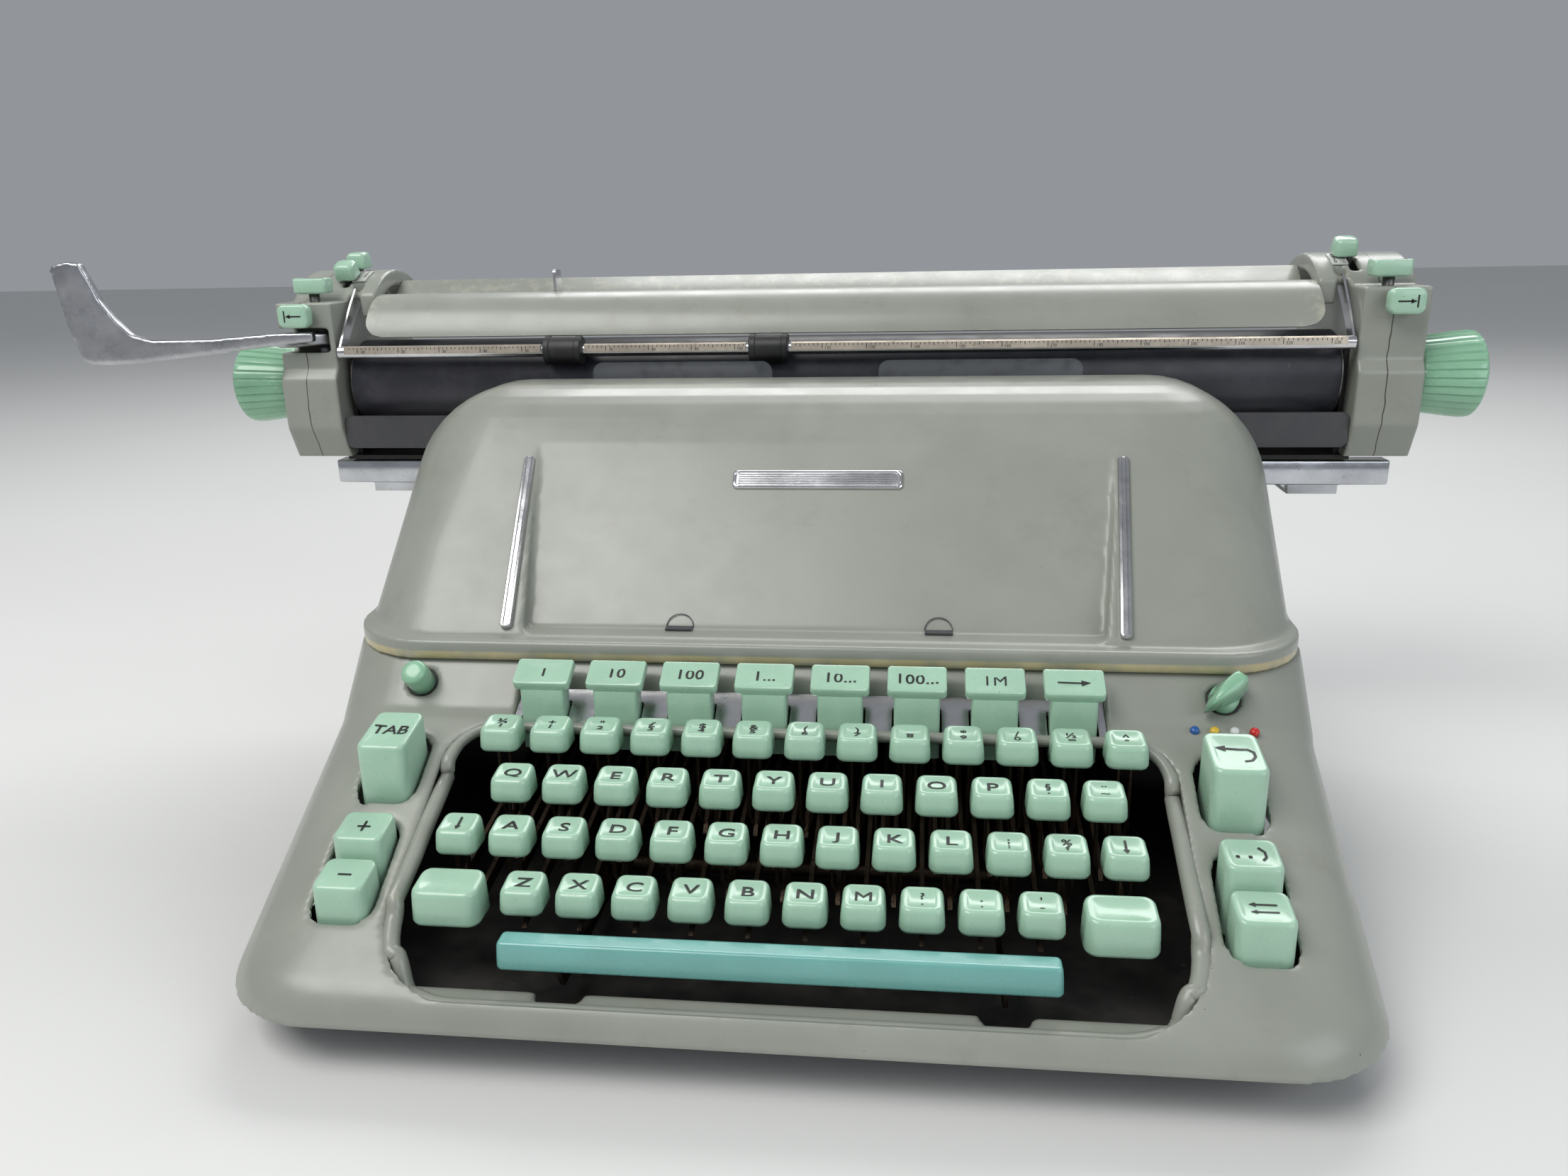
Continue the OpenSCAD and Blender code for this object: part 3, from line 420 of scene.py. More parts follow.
def glyphs(text, size, place, spacing=0.95, lines=0.9, spread=1.0, bold=0.012):
    """Lettering as thin raised ink; place(x, y, h) maps text millimetres to the surface."""
    cu = bpy.data.curves.new("legend", "FONT")
    cu.body = text
    cu.size = size
    cu.align_x = "CENTER"
    cu.align_y = "CENTER"
    cu.space_line = lines
    cu.space_character = spacing
    cu.extrude = 0.03
    cu.offset = 0 if "M" in text else bold * size
    cu.resolution_u = 3
    ob = bpy.data.objects.new("legend", cu)
    bpy.context.collection.objects.link(ob)
    dg = bpy.context.evaluated_depsgraph_get()
    me = bpy.data.meshes.new_from_object(ob.evaluated_get(dg))
    bpy.data.objects.remove(ob)
    vs = [place(v.co.x * spread, v.co.y, v.co.z) for v in me.vertices]
    fs = [tuple(p.vertices) for p in me.polygons]
    bpy.data.meshes.remove(me)
    return vs, fs


def stroke(points, w, place, tip=0.0):
    """A flat stroke through 2-D points, with an arrow head of length tip at its end."""
    vs, fs = [], []
    pts = [Vector(p) for p in points]
    end = pts[-1].copy()
    if tip:
        d = (pts[-1] - pts[-2]).normalized()
        pts[-1] = pts[-1] - d * tip * 0.7
    for i, p in enumerate(pts):
        d = (pts[min(i + 1, len(pts) - 1)] - pts[max(i - 1, 0)]).normalized()
        s = Vector((-d.y, d.x)) * w / 2
        vs += [p + s, p - s]
        if i:
            k = 2 * i
            fs.append((k - 2, k - 1, k + 1, k))
    if tip:
        d = (end - pts[-1]).normalized()
        s = Vector((-d.y, d.x)) * tip * 0.42
        k = len(vs)
        b = end - d * tip
        vs += [end, b + s, b - s]
        fs.append((k, k + 1, k + 2))
    return [place(v.x, v.y, 0.04) for v in vs], fs


def tube(points, r, n=10):
    """Rings of a round wire through 3-D points (metres)."""
    rings = []
    up = Vector((0.31, 0.2, 0.93))
    for i, p in enumerate(points):
        d = (points[min(i + 1, len(points) - 1)] - points[max(i - 1, 0)]).normalized()
        a = d.cross(up).normalized()
        b = d.cross(a).normalized()
        q = r if isinstance(r, float) else r[i]
        rings.append([p + a * q * math.cos(2 * math.pi * j / n) + b * q * math.sin(2 * math.pi * j / n)
                      for j in range(n)])
    return rings


# ---------------------------------------------------------------- CAD nodes that stay, dressed
for node, mat in {"bottom_pan": "under", "rubber_feet": "black", "main_frame": "basket",
                  "decade_guide": "chrome",
                  "key_pivot": "steel", "type_segment": "basket", "typebars": "basket",
                  "carriage_bed": "under",
                  "feed_rollers": "black", "ribbon_spool_left": "ribbon", "ribbon_spool_right": "ribbon",
                  "type_guide": "clear"}.items():
    ob = NODES[node]
    for s in ob.material_slots:
        s.material = M[mat]

# ---------------------------------------------------------------- shells
fine = 0.0015
shell = cad_copy("base_shell", "body_shell", "paint", "body", fine, 5)
hood = cad_copy("hood", "hood_shell", "hood", "body", fine * 0.8, 4)

# Edge of the keyboard well and of the tabulator opening, cut clean
WELL = (-134.0, 134.0, -31.0, 63.2)


def well_loop(grow, n=10):
    x0, x1, y0, y1 = WELL[0] - grow, WELL[1] + grow, WELL[2] - grow, WELL[3] + grow
    pts = []
    for cx, cy, r, a in ((x1, y1, 14 + grow, 0), (x0, y1, 14 + grow, 1), (x0, y0, 28 + grow, 2),
                         (x1, y0, 28 + grow, 3)):
        mx, my = cx - math.copysign(r, cx), cy - math.copysign(r, cy)
        pts += [(mx + r * math.cos(math.pi / 2 * (a + k / n)),
                 my + r * math.sin(math.pi / 2 * (a + k / n))) for k in range(n + 1)]
    return pts


cut = Bag()
cut.rings([[P(x, y, z) for x, y in well_loop(0.8)] for z in (26.5, 160)])
cut.rings([[P(x * 112.2, y, z) for x, y in ((1, 66), (1, 82.6), (-1, 82.6), (-1, 66))] for z in (62, 128)])
me = bpy.data.meshes.new("well_cut")
me.from_pydata([tuple(v) for v in cut.v], [], cut.f)
knife = bpy.data.objects.new("well_cut", me)
bpy.context.collection.objects.link(knife)
cutter = shell.modifiers.new("well", "BOOLEAN")
cutter.operation, cutter.solver, cutter.object = "DIFFERENCE", "EXACT", knife
apply_all(shell)
for p in shell.data.polygons:
    p.use_smooth = True
shell.data.set_sharp_from_angle(angle=math.radians(50))
bpy.data.objects.remove(knife)

# Rolled lip of the well, laid on the deck
loop = [(x * 132.6 / 135.9, y + 3.3 if y < -20 else y) for x, y in well_loop(1.9)]
loop = [(x + (loop[(i + 1) % len(loop)][0] - x) * k / 6, y + (loop[(i + 1) % len(loop)][1] - y) * k / 6)
        for i, (x, y) in enumerate(loop) for k in range(6)]
high = []
for x, y in loop:
    z = deck_at(y)
    if y < 10:
        hit, at, _, _ = shell.ray_cast(P(x + math.copysign(1.6, x) * (abs(x) > 110), y - 1.6 * (y < -20), 90),
                                       Vector((0, 0, -1)))
        z = min(z, at.z * 1000) if hit else z
    high.append(z)
for _ in range(12):
    high = [(high[i - 1] + 2 * high[i] + high[(i + 1) % len(high)]) / 4 for i in range(len(high))]
fat = [0.0022 + 0.0008 * min(max((58 - y) / 12, 0), 1) for x, y in loop]
ring = [P(x, y, z - r * 1000 + 0.2) for (x, y), z, r in zip(loop, high, fat)]
lipb = Bag()
turns = tube(ring[-1:] + ring + ring[:2], fat[-1:] + fat + fat[:2], 14)
lipb.rings(turns[1:-1], False, False)
lipb.make("well_lip", "paint", "body")
cad_copy("rear_cover", "rear_shell", "paint", "body", bevel=0.0025)
cad_copy("left_end_cover", "left_cover", "cover_l", "carriage", 0.0009, 6)
cad_copy("right_end_cover", "right_cover", "cover_r", "carriage", 0.0009, 6)
cad_copy("carriage_rails", "carriage_rails_bright", "rail", "body", bevel=0.0011)
cad_copy("paper_table", "paper_table_sheet", "paint", "carriage", bevel=0.0006)

# ---------------------------------------------------------------- hood trim
def strip(sx):
    lo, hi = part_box("hood_strips")
    y0, y1 = lo[1], hi[1]
    z0, z1 = lo[2], hi[2]
    slope = math.atan2(z1 - z0 - 0.002, y1 - y0)
    bag = Bag()
    length = math.hypot(y1 - y0, z1 - z0) - 0.001
    rings = []
    for t, k in ((0, 0.3), (0.6, 0.75), (1.6, 1), (length * 1000 - 1.6, 1), (length * 1000 - 0.6, 0.75),
                 (length * 1000, 0.3)):
        rings.append([(x * k, t, z * k + (0.2 if k < 1 else 0)) for x, z in
                      [(-2.4, -1), (-2.4, 0.9), (-1.9, 1.6), (-1.1, 1.7), (-0.7, 1.25), (0.7, 1.25),
                       (1.1, 1.7), (1.9, 1.6),
                       (2.4, 0.9), (2.4, -1)]])
    bag.rings([[Vector(p) / 1000 for p in r] for r in rings])
    cx = X0 + sx * 0.121
    xf = Matrix.Translation((cx, y0 + 0.0008, z0 + 0.0012)) @ Matrix.Rotation(-sx * math.radians(5), 4,
            "Z") @ \
        Matrix.Rotation(slope, 4, "X")
    return bag, xf


strips = Bag()
for sx in (-1, 1):
    b, xf = strip(sx)
    strips.add([xf @ v for v in b.v], b.f)
strips.make("hood_bright_strips", "chrome", "body", "angle", ("hood_strips",))

# Plain bar with a raised rim and fine ribs
blo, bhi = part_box("badge")
bc = (Vector(blo) + Vector(bhi)) / 2
bslope = math.atan2(bhi[2] - blo[2], bhi[1] - blo[1])
orn = Bag()
B = lambda u, v, h: Vector((u, v * math.cos(bslope) - h * math.sin(bslope),
                            v * math.sin(bslope) + h * math.cos(bslope))) / 1000 + bc
rim = [(0, -1.2), (0, 0.5), (-0.3, 0.9), (-0.9, 1.1), (-1.3, 0.9), (-1.5, 0.5)]
orn.rings([[B(u, v, h) for u, v in rr(72 + 2 * e, 9 + 2 * e, 2)] for e, h in rim])
for q in range(-2, 3):
    orn.rings([[B(u, 1.1 * q + 0.33 * math.cos(a), 0.5 + 0.3 * math.sin(a))
                for a in [math.pi * j / 4 for j in range(8)]] for u in (-33.4, 33.4)])
orn.make("hood_plate", "chrome", "body", "angle", ("badge",))

# Finger notches at the panel's ledge, drawn as dark slabs with thin dark arcs: painted shade standing in for
# the shaded recesses
notch = Bag()
for x in (-52, 51):
    sl = math.radians(48)
    pt = lambda u, v, h: P(x + u, 102.2 + v * math.cos(sl) - h * math.sin(sl),
                           108.9 + v * math.sin(sl) + h * math.cos(sl))
    notch.rings(tube([pt(5.4 * math.cos(math.pi * k / 16), 5.4 * math.sin(math.pi * k / 16),
                         0.05) for k in range(17)], 0.00022, 6))
    notch.box(P(x - 5.4, 98.5, 108.3), P(x + 5.4, 102.4, 109.0))
notch.make("panel_notch_painted_shade", "pan", "body", "angle")

# ---------------------------------------------------------------- key caps
def cap_rings(cx, cy, w, d, r, zt, zb, dish=0.8, tilt=0.0, flare=0.5, edge=1.0):
    """Rings of a moulded cap: rounded foot, nearly upright sides, soft brim, dished top.
    zt is the height at the middle of the top, tilt its rise towards the back."""
    spec = [(-1.6 * edge, zb, 0), (-0.5 * edge, zb + 0.35 * edge, 0), (0, zb + 1.5 * edge, 0),
            (-flare * 0.4, (zb + zt) / 2, 0.4), (-flare, zt - 1.9 * edge, 1),
            (-flare - 0.35 * edge, zt - 0.8 * edge, 1),
            (-flare - 0.95 * edge, zt - 0.2 * edge, 1), (-flare - 1.7 * edge, zt, 1)]
    rings = []
    for inset, z, k in spec:
        rings.append([(cx + x, cy + y, z + k * tilt * y) for x,
                      y in rr_filled(w + 2 * inset, d + 2 * inset, r + inset)])
    inner_w, inner_d = w - 2 * (flare + 1.7 * edge), d - 2 * (flare + 1.7 * edge)
    for s in (0.86, 0.72, 0.56, 0.4, 0.22, 0.08):
        ring = []
        for x, y in rr_filled(inner_w, inner_d, max(r - flare - 1.7 * edge, 0.8)):
            hollow = (1 - (2 * x * s / inner_w) ** 6) * (1 - (2 * y * s / inner_d) ** 2)
            ring.append((cx + x * s, cy + y * s, zt - dish * hollow + tilt * y * s))
        rings.append(ring)
    return rings


def on_cap(cx, cy, zt, w, d, dish=0.8, tilt=0.0, flare=0.5, edge=1.0, dx=0.0, dy=0.0, carriage=False):
    hw, hd = w / 2 - flare - 1.7 * edge, d / 2 - flare - 1.7 * edge
    F = C if carriage else P

    def place(x, y, h):
        x, y = x + dx, y + dy
        hollow = max(1 - (x / hw) ** 6, 0) * max(1 - (y / hd) ** 2, 0)
        return F(cx + x, cy + y, zt - dish * hollow + tilt * y + 0.14 + h)
    return place


PITCH, ROW_Y, ROW_Z, LEFT, TOP = 19.05, 18.5, 11.16, -88.06, 52.6
STAGGER = (0, -9.525, -14.2875, -23.8125)
PIVOT = (172.0, 62.0)
row_x = lambda row, i: LEFT + STAGGER[row] + i * PITCH
lever_z = lambda y: 40 + (PIVOT[1] - 40) * y / PIVOT[0]


def lever(bag, x, y, zc, wide=2.1):
    """Flat key lever with a pair of thin prongs under the cap."""
    t = 0.8
    prof = [(y - 3.5, lever_z(y) - 3.2), (165, PIVOT[1] - 3.4), (165, PIVOT[1] + 3.4),
            (y + 3.5, lever_z(y) + 2.6)]
    bag.rings([[P(x + s, py, pz) for py, pz in prof] for s in (-t, t)])
    bag.turn([(-1.0, 6.5), (-0.99, 6.5), (0.99, 6.5), (1.0, 6.5)], lambda s, u,
             v: P(x + s, PIVOT[0] + u, PIVOT[1] + v), 24)
    for s in (-wide, wide):
        bag.rings(tube([P(x + s * 0.5, y, lever_z(y)), P(x + s, y, lever_z(y) + 3), P(x + s, y, zc)], 0.00075,
                       6))


CAP_W, CAP_D, CAP_H, LEAN = 15.0, 14.2, 9.6, 0.13


def key_set(body, node, keys, name):
    """keys: (x, y, z_top, w, d, h, lever_x, legend, size)."""
    caps, stems, ink = Bag(), Bag(), Bag()
    for x, y, z, w, d, h, lx, text, size in keys:
        r = 3.6 if w < 20 else 4.6
        rings = cap_rings(x, y, w, d, r, z, z - h, 0.85, LEAN)
        caps.rings([[P(*p) for p in q] for q in rings])
        lever(stems, lx, y, z - h + 0.5)
        put = on_cap(x, y, z, w, d, 0.85, LEAN)
        if text == "down":
            ink.add(*stroke([(0, 3.4), (0, -3.6)], 0.8, put, 2.6))
        elif text:
            two = "\n" in text
            ink.add(*glyphs(text, size, put, spread=1.4 if not two else 1.45, lines=0.8))
    caps.make(name + "_caps", "cap", body, True, (node,))
    stems.make(name + "_levers", "steel", body, "angle")
    if ink.v:
        ink.make(name + "_legends", "ink", body, False)


ROWS = {
    3: ("number_row", ["¾\n1", "+\n1", "\"\n2", "£\n3", "$\n4", "&\n5", "(\n6", ")\n7", "_\n8", "*\n9",
                       "/\n0", "½\n=", "^\n°"]),
    2: ("upper_row", ["Q", "W", "E", "R", "T", "Y", "U", "I", "O", "P", "§\n,", "¨\n~"]),
    1: ("home_row", ["A", "S", "D", "F", "G", "H", "J", "K", "L", ";\n:", "%\nf"]),
    0: ("lower_row", ["Z", "X", "C", "V", "B", "N", "M", "?\n.", ".\n.", "'\n-"]),
}
for row, (name, legends) in ROWS.items():
    keys = []
    for i, text in enumerate(legends):
        x = row_x(row, i)
        keys.append((x, row * ROW_Y, TOP + row * ROW_Z, CAP_W, CAP_D, CAP_H, x, text,
                     6.2 if "\n" not in text else 3.7))
    key_set(name, name + "_keys", keys, name)
lock_z = TOP + ROW_Z
key_set("lock_left", "shift_lock_left", [(row_x(1, -1), ROW_Y, lock_z, CAP_W, CAP_D, CAP_H, row_x(1, -1),
                                          "down", 5)], "lock_left")
key_set("lock_right", "shift_lock_right", [(row_x(1, 11), ROW_Y, lock_z, CAP_W, CAP_D, CAP_H, row_x(1, 11),
                                            "down", 5)], "lock_right")
key_set("shift_pair", "shift_keys", [(row_x(0, -1.35), -1.5, TOP, 24, 16, 13.4, row_x(0, -1), "", 5),
                                     (row_x(0, 10.3), -1.5, TOP, 24, 16, 13.4, row_x(0, 10), "", 5)], "shift")

# Space bar
arm_x = [(row_x(0, 1) + row_x(3, 2)) / 2, (row_x(2, 9) + row_x(1, 9)) / 2]
bar = Bag()
rings = cap_rings(-1.5, -17.6, 181, 9, 2.4, 42.6, 32.8, 0.0, 0.0, 0.5, 0.75)
bar.rings([[P(*p) for p in q] for q in rings])
bar.make("space_bar_cap", "bar", "space", True, ("space_bar",))
arms = Bag()
for x in arm_x:
    prof = [(-20, 33), (-20, 30), (-17, 25), (60, 21.5), (64, 26), (60, 28.2), (-10.5, 28.2), (-13, 33.2)]
    arms.rings([[P(x + s, y, z) for y, z in prof] for s in (-0.8, 0.8)])
arms.make("space_bar_arms", "steel", "space", "angle")

# ---------------------------------------------------------------- tall side keys
SIDE_LEFT, SIDE_RIGHT = -151, 151.5
# A legend is a list of strokes: points, width, size of the arrow head
PLUS = [([(-2.4, 0), (2.4, 0)], 0.8, 0), ([(0, -2.6), (0, 2.6)], 0.8, 0)]
RETURN_HOOK = [(2.0, -4.6), (4.6, -4.0), (6.0, -2.0), (6.0, 0.4), (4.4, 2.0), (1.6, 2.0), (-6.6, 2.6)]
DOTS_AND_BRACKET = [([(-5.2, -1.0), (-4.0, -1.0)], 1.2, 0), ([(-1.2, -1.0), (0, -1.0)], 1.2, 0),
                    ([(2.6, 3.2), (4.4, 1.4), (4.4, -1.0), (3.0, -2.6)], 0.9, 0)]
TWO_ARROWS = [([(4.4, y), (-4.4, y)], 0.7, 2.2) for y in (1.5, -1.6)]


def side_key(body, node, x, y0, y1, z_top, legend):
    tilt = math.tan(math.radians(12))
    cy, d, w = (y0 + y1) / 2, y1 - y0, 18.8
    zt = z_top - 3 + (cy - y0) * tilt
    zb = deck_at(y0) - 14
    bag = Bag()
    rings = cap_rings(x, cy, w, d, 3.4, zt, zb, 0.7, tilt, 0.25, 0.8)
    bag.rings([[P(*p) for p in q] for q in rings])
    bag.make(node + "_cap", "cap", body, True, (node,))
    put = on_cap(x, cy, zt, w, d, 0.7, tilt, 0.25, 0.8)
    ink = Bag()
    for part in legend:
        if isinstance(part, str):
            ink.add(*glyphs(part, 7.0, put, spread=1.12))
        else:
            ink.add(*stroke(part[0], part[1], put, part[2]))
    ink.make(node + "_legend", "ink", body, False)


side_key("tab", "tab_key", SIDE_LEFT, 34, 57, 87, ["TAB"])
side_key("return_key", "carriage_return_key", SIDE_RIGHT, 34, 57, 87, [(RETURN_HOOK, 1.0, 3.6)])
side_key("plus", "plus_key", SIDE_LEFT, 9, 24.6, 63.6, PLUS)
side_key("minus", "minus_key", SIDE_LEFT, -8.4, 7.4, 54.6, PLUS[:1])
side_key("right_upper", "upper_right_key", SIDE_RIGHT, 9, 24.6, 65, DOTS_AND_BRACKET)
side_key("right_lower", "lower_right_key", SIDE_RIGHT, -8.4, 7.4, 56, TWO_ARROWS)

# ---------------------------------------------------------------- tabulator keys
dec, dink = Bag(), Bag()
lean = math.radians(27)
for i, text in enumerate(["1", "10", "100", "1...", "10...", "100...", "1M", ""]):
    x = (i - 3.5) * 28.575
    stem = [[P(x + u, 72.5 + v, z + (0 if z < 80 else 0.49 * v)) for u, v in rr(17, 8.6, 1.2)] for z in (70,
            70.3, 90, 95.6)]
    dec.rings(stem)
    sag = lambda u: 2.0 + (u / 11) ** 2 * 1.3
    D = lambda u, v, h: P(x + u, 74 + v * math.cos(lean) - h * math.sin(lean),
                          97.5 + v * math.sin(lean) + h * math.cos(lean))
    top = []
    for inset, dz in ((-0.9, -4.0), (-0.2, -3.9), (0, -3.4), (0, -0.8), (-0.25, -0.25), (-0.9, 0)):
        top.append([D(u, v, sag(u) + dz) for u, v in rr(22 + 2 * inset, 12.8 + 2 * inset, 1.4, 8)])
    flat = rr(22 - 1.8, 12.8 - 1.8, 0.8, 8)
    for t in (0.8, 0.5, 0.2):
        top.append([D(u * t, v * t, sag(u * t)) for u, v in flat])
    dec.rings(top)
    put = lambda u, v, h: D(u, v, sag(u) + 0.12 + h)
    if text:
        dink.add(*glyphs(text, 6.6, put, 1.05, spread=1.08))
    else:
        dink.add(*stroke([(-6, 0), (6, 0)], 0.7, put, 3.4))
dec.make("decade_caps", "cap", "decades", "angle", ("decade_keys",))
dink.make("decade_legends", "ink", "decades", False)

# ---------------------------------------------------------------- ribbon controls
s2 = math.sqrt(0.5)


def tilted(x0, y0, z0):
    return lambda u, v, h: P(x0 + u, y0 + v * s2 - h * s2, z0 + v * s2 + h * s2)


b = Bag()
T = tilted(-152.5, 81.5, 90)
b.turn([(-8, 3), (-7.9, 5.2), (11, 5.2), (12.2, 4.7), (12.9, 3.4), (13, 1.6)], lambda s, u, v: T(u, v, s), 40)
b.make("ribbon_button_cap", "knob", "ribbon_push", True, ("ribbon_button",))
b = Bag()
T2 = tilted(155, 81.5, 90)
b.turn([(-8, 5.2), (-7.9, 5.2), (4.6, 5.2), (5.2, 4.4)], lambda s, u, v: T2(u, v, s), 40)
turn = math.radians(-40)
turned = lambda u, v: (u * math.cos(turn) - v * math.sin(turn), u * math.sin(turn) + v * math.cos(turn))
outline = [(-2, -11), (1.6, -5), (4.6, 2), (4.6, 7.6), (3.6, 9), (-2.6, 9), (-3.6, 7.6), (-4.8, 2),
           (-4.2, -4)]
rings = []
for h, k in ((4.6, 0.94), (5.4, 1.0), (11, 0.96), (13, 0.86), (13.8, 0.66)):
    rings.append([T2(*turned(u * k * (0.7 if h > 9 else 1), v * k), h) for u, v in outline])
b.rings(rings)
b.make("ribbon_pointer_knob", "knob", "ribbon_pointer", True, ("ribbon_lever",))
# Black rings round the ribbon button and pointer knob: painted shade standing in for the shaded gaps of their
# holes in the deck
ringb = Bag()
for x, y, z in ((-152.5, 81.5, 90), (155, 81.5, 90)):
    T3 = tilted(x, y, z)
    ringb.turn([(-2, 6.4), (-1.9, 6.9), (1.2, 6.9), (1.4, 6.5)], lambda s, u, v: T3(u, v, s), 40)
ringb.make("ribbon_control_well_painted_shade", "under", "body")
dots = ["blue", "gold", "white", "red"]
for i, c in enumerate(dots):
    b = Bag()
    sl = math.radians(28.8)
    D = lambda s, u, v: P(143 + 7 * i + u, 69.5 + v * math.cos(sl) - s * math.sin(sl),
                          deck_at(69.5) - 1.5 + v * math.sin(sl) + s * math.cos(sl))
    b.turn([(0, 1.7), (1.6, 1.7), (2.3, 1.4), (2.6, 0.7)], D, 24)
    b.make("ribbon_dot_" + c, c, "body", True, ("ribbon_dots",) if i == 0 else (), slot="dots")

# ---------------------------------------------------------------- platen, knobs and bail
AX = (259.0, 188.0)
b = Bag()
b.turn([(-241, 17), (-240.8, 21.0), (-240.2, 21.5), (240.2, 21.5), (240.8, 21.0), (241, 17)],
       lambda s, u, v: C(s, AX[0] + u, AX[1] + v), 96)
b.make("platen_roller", "rubber", "platen_assembly", True, ("platen",))
b = Bag()
b.turn([(-281.4, 5), (-281.3, 6), (281.3, 6), (281.4, 5)], lambda s, u, v: C(s, AX[0] + u, AX[1] + v), 32)
for sx in (-1, 1):
    b.turn([(sx * 241, 3), (sx * 241.2, 19), (sx * 242.2, 19), (sx * 242.4, 3)][::sx], lambda s, u,
           v: C(s, AX[0] + u, AX[1] + v), 64)
b.make("platen_axle", "basket", "platen_assembly", "angle")


def knob(sx):
    b = Bag()
    n = 30

    def flute(j, s):
        k = (j % 6)
        if s < 1.2 or s > 26.5:
            return 1
        return 0.958 if k == 0 else 0.972 + 0.0056 * k
    prof = [(0, 8), (0.05, 15.6), (0.6, 16.6), (1.2, 17.4), (2, 17.8), (10, 18.7), (18, 19.8), (24, 20.45),
            (26.4, 20.4),
            (27.4, 19.9), (28.3, 18.9), (28.9, 17.2), (28.6, 15.4), (28.3, 8), (28.6, 6), (29.6, 5.2),
            (30.2, 2.6)]
    f = lambda s, u, v: C(sx * (277.9 + s), AX[0] + u, AX[1] + v)
    b.turn(prof, f, n * 6, flute)
    return b


knob(-1).make("knob_left_fluted", "knob", "platen_assembly", "angle", ("knob_left",))
knob(1).make("knob_right_fluted", "knob", "platen_assembly", "angle", ("knob_right",))

BY, BZ = 236.0, 205.5
rod, rul, mark = Bag(), Bag(), Bag()
rod.turn([(-244.3, 2.2), (-244, 3.1), (244, 3.1), (244.3, 2.2)], lambda s, u, v: C(s, BY + u, BZ + v), 32)
for sx in (-1, 1):
    arm = []
    for t in [k / 10 for k in range(11)]:
        y, z = BY + 25 * t, BZ + 26.5 * t + 1.2 * math.sin(math.pi * t)
        w = 3.2 + 0.9 * t
        arm.append([C(sx * 243 + q, y - w * 0.45 * c, z + w * 0.89 * c) for q,
                    c in ((-0.5, -1), (0.5, -1), (0.5, 1), (-0.5, 1))])
    rod.rings(arm)
rod.make("bail_rod", "chrome", "bail", "angle", ("paper_bail",))
spans = [(-240, -138.7), (-116.7, -37), (-15, 240)]
for a, c in spans:
    prof = [(-4.0, -0.6), (-3.6, 2.6), (-2.2, 3.2), (-1.6, 2.9), (-2.8, -0.8)]
    rul.rings([[C(x, BY + u, BZ + v) for u, v in prof] for x in (a, c)])
rul.make("bail_ruler", "ruler", "bail", "angle")
step = 25.4 / 12
k = -113
while k <= 113:
    x = k * step
    if any(a + 1 < x < c - 1 for a, c in spans):
        long = k % 10 == 0
        h0, h1 = (0.25, 0.95) if long else (0.55, 0.95) if k % 5 == 0 else (0.68, 0.95)
        Q = lambda t, o: C(x + o, BY - 4.0 + 0.4 * t - 0.06, BZ - 1.0 + 3.6 * t)
        mark.add([Q(h0, -0.16), Q(h0, 0.16), Q(h1, 0.16), Q(h1, -0.16)], [(0, 1, 2, 3)])
        if long:
            R = lambda u, v, h, x=x: C(x + u + 2.6, BY - 3.86 + 0.11 * v - 0.06 - h, BZ + 0.35 + v)
            mark.add(*glyphs(str(k + 120), 2.0, R, 1.0, bold=0))
    k += 1
mark.make("bail_ruler_marks", "ink", "bail", False)
b = Bag()
for x in (-127.7, -26):
    b.turn([(x - 9.5, 3.25), (x - 9.4, 6.4), (x - 8.9, 6.9), (x - 6.6, 6.95), (x - 6.2, 6.5), (x + 6.2, 6.5),
            (x + 6.6, 6.95),
            (x + 8.9, 6.9), (x + 9.4, 6.4), (x + 9.5, 3.25)], lambda s, u, v: C(s, BY + u, BZ + v), 48)
b.make("bail_roller_sleeves", "black", "bail_roller_pair", "angle", ("bail_rollers",))

# ---------------------------------------------------------------- paper deflector, pan, guide, supports
b = Bag()
cy, cz = 267.5, 203.5
N, K = 40, 26
grid_out, grid_in = [], []
a0, a1 = math.radians(162), math.radians(97)
half, rc = 232.0, 9.0
arc_l = 29 * (a0 - a1)
for i in range(K + 1):
    a = a0 + (a1 - a0) * i / K
    low = arc_l * i / K
    cut = rc - math.sqrt(max(rc * rc - (rc - low) ** 2, 0)) if low < rc else 0
    ro, ri = [], []
    for j in range(N + 1):
        x = (half - cut) * (2 * j / N - 1)
        ro.append(C(x, cy + 29 * math.cos(a), cz + 29 * math.sin(a)))
        ri.append(C(x, cy + 27.3 * math.cos(a), cz + 27.3 * math.sin(a)))
    grid_out.append(ro)
    grid_in.append(ri)
loop = [g + list(reversed(h)) for g, h in zip(grid_out, grid_in)]
b.rings(loop, False, False)
k2 = 2 * (N + 1)
for base, flip in ((0, True), (len(loop) - 1, False)):
    for j in range(N):
        q = (base * k2 + j, base * k2 + j + 1, base * k2 + k2 - 2 - j, base * k2 + k2 - 1 - j)
        b.f.append(q[::-1] if flip else q)
b.make("paper_deflector_sheet", "paint", "carriage", "angle", ("paper_deflector",))
b = Bag()
pw, pz0, pz1, pr = 246.0, 157.0, 173.5, 4.0
b.rings([[C(u, y, (pz0 + pz1) / 2 + v) for u, v in rr(2 * (pw + k), pz1 - pz0 + 2 * k, pr)] for y, k in
         ((236.9, 0), (235.6, 0), (235.1, -0.3), (235.0, -0.8))])
b.make("front_pan_plate", "pan", "carriage", "angle", ("front_pan",))

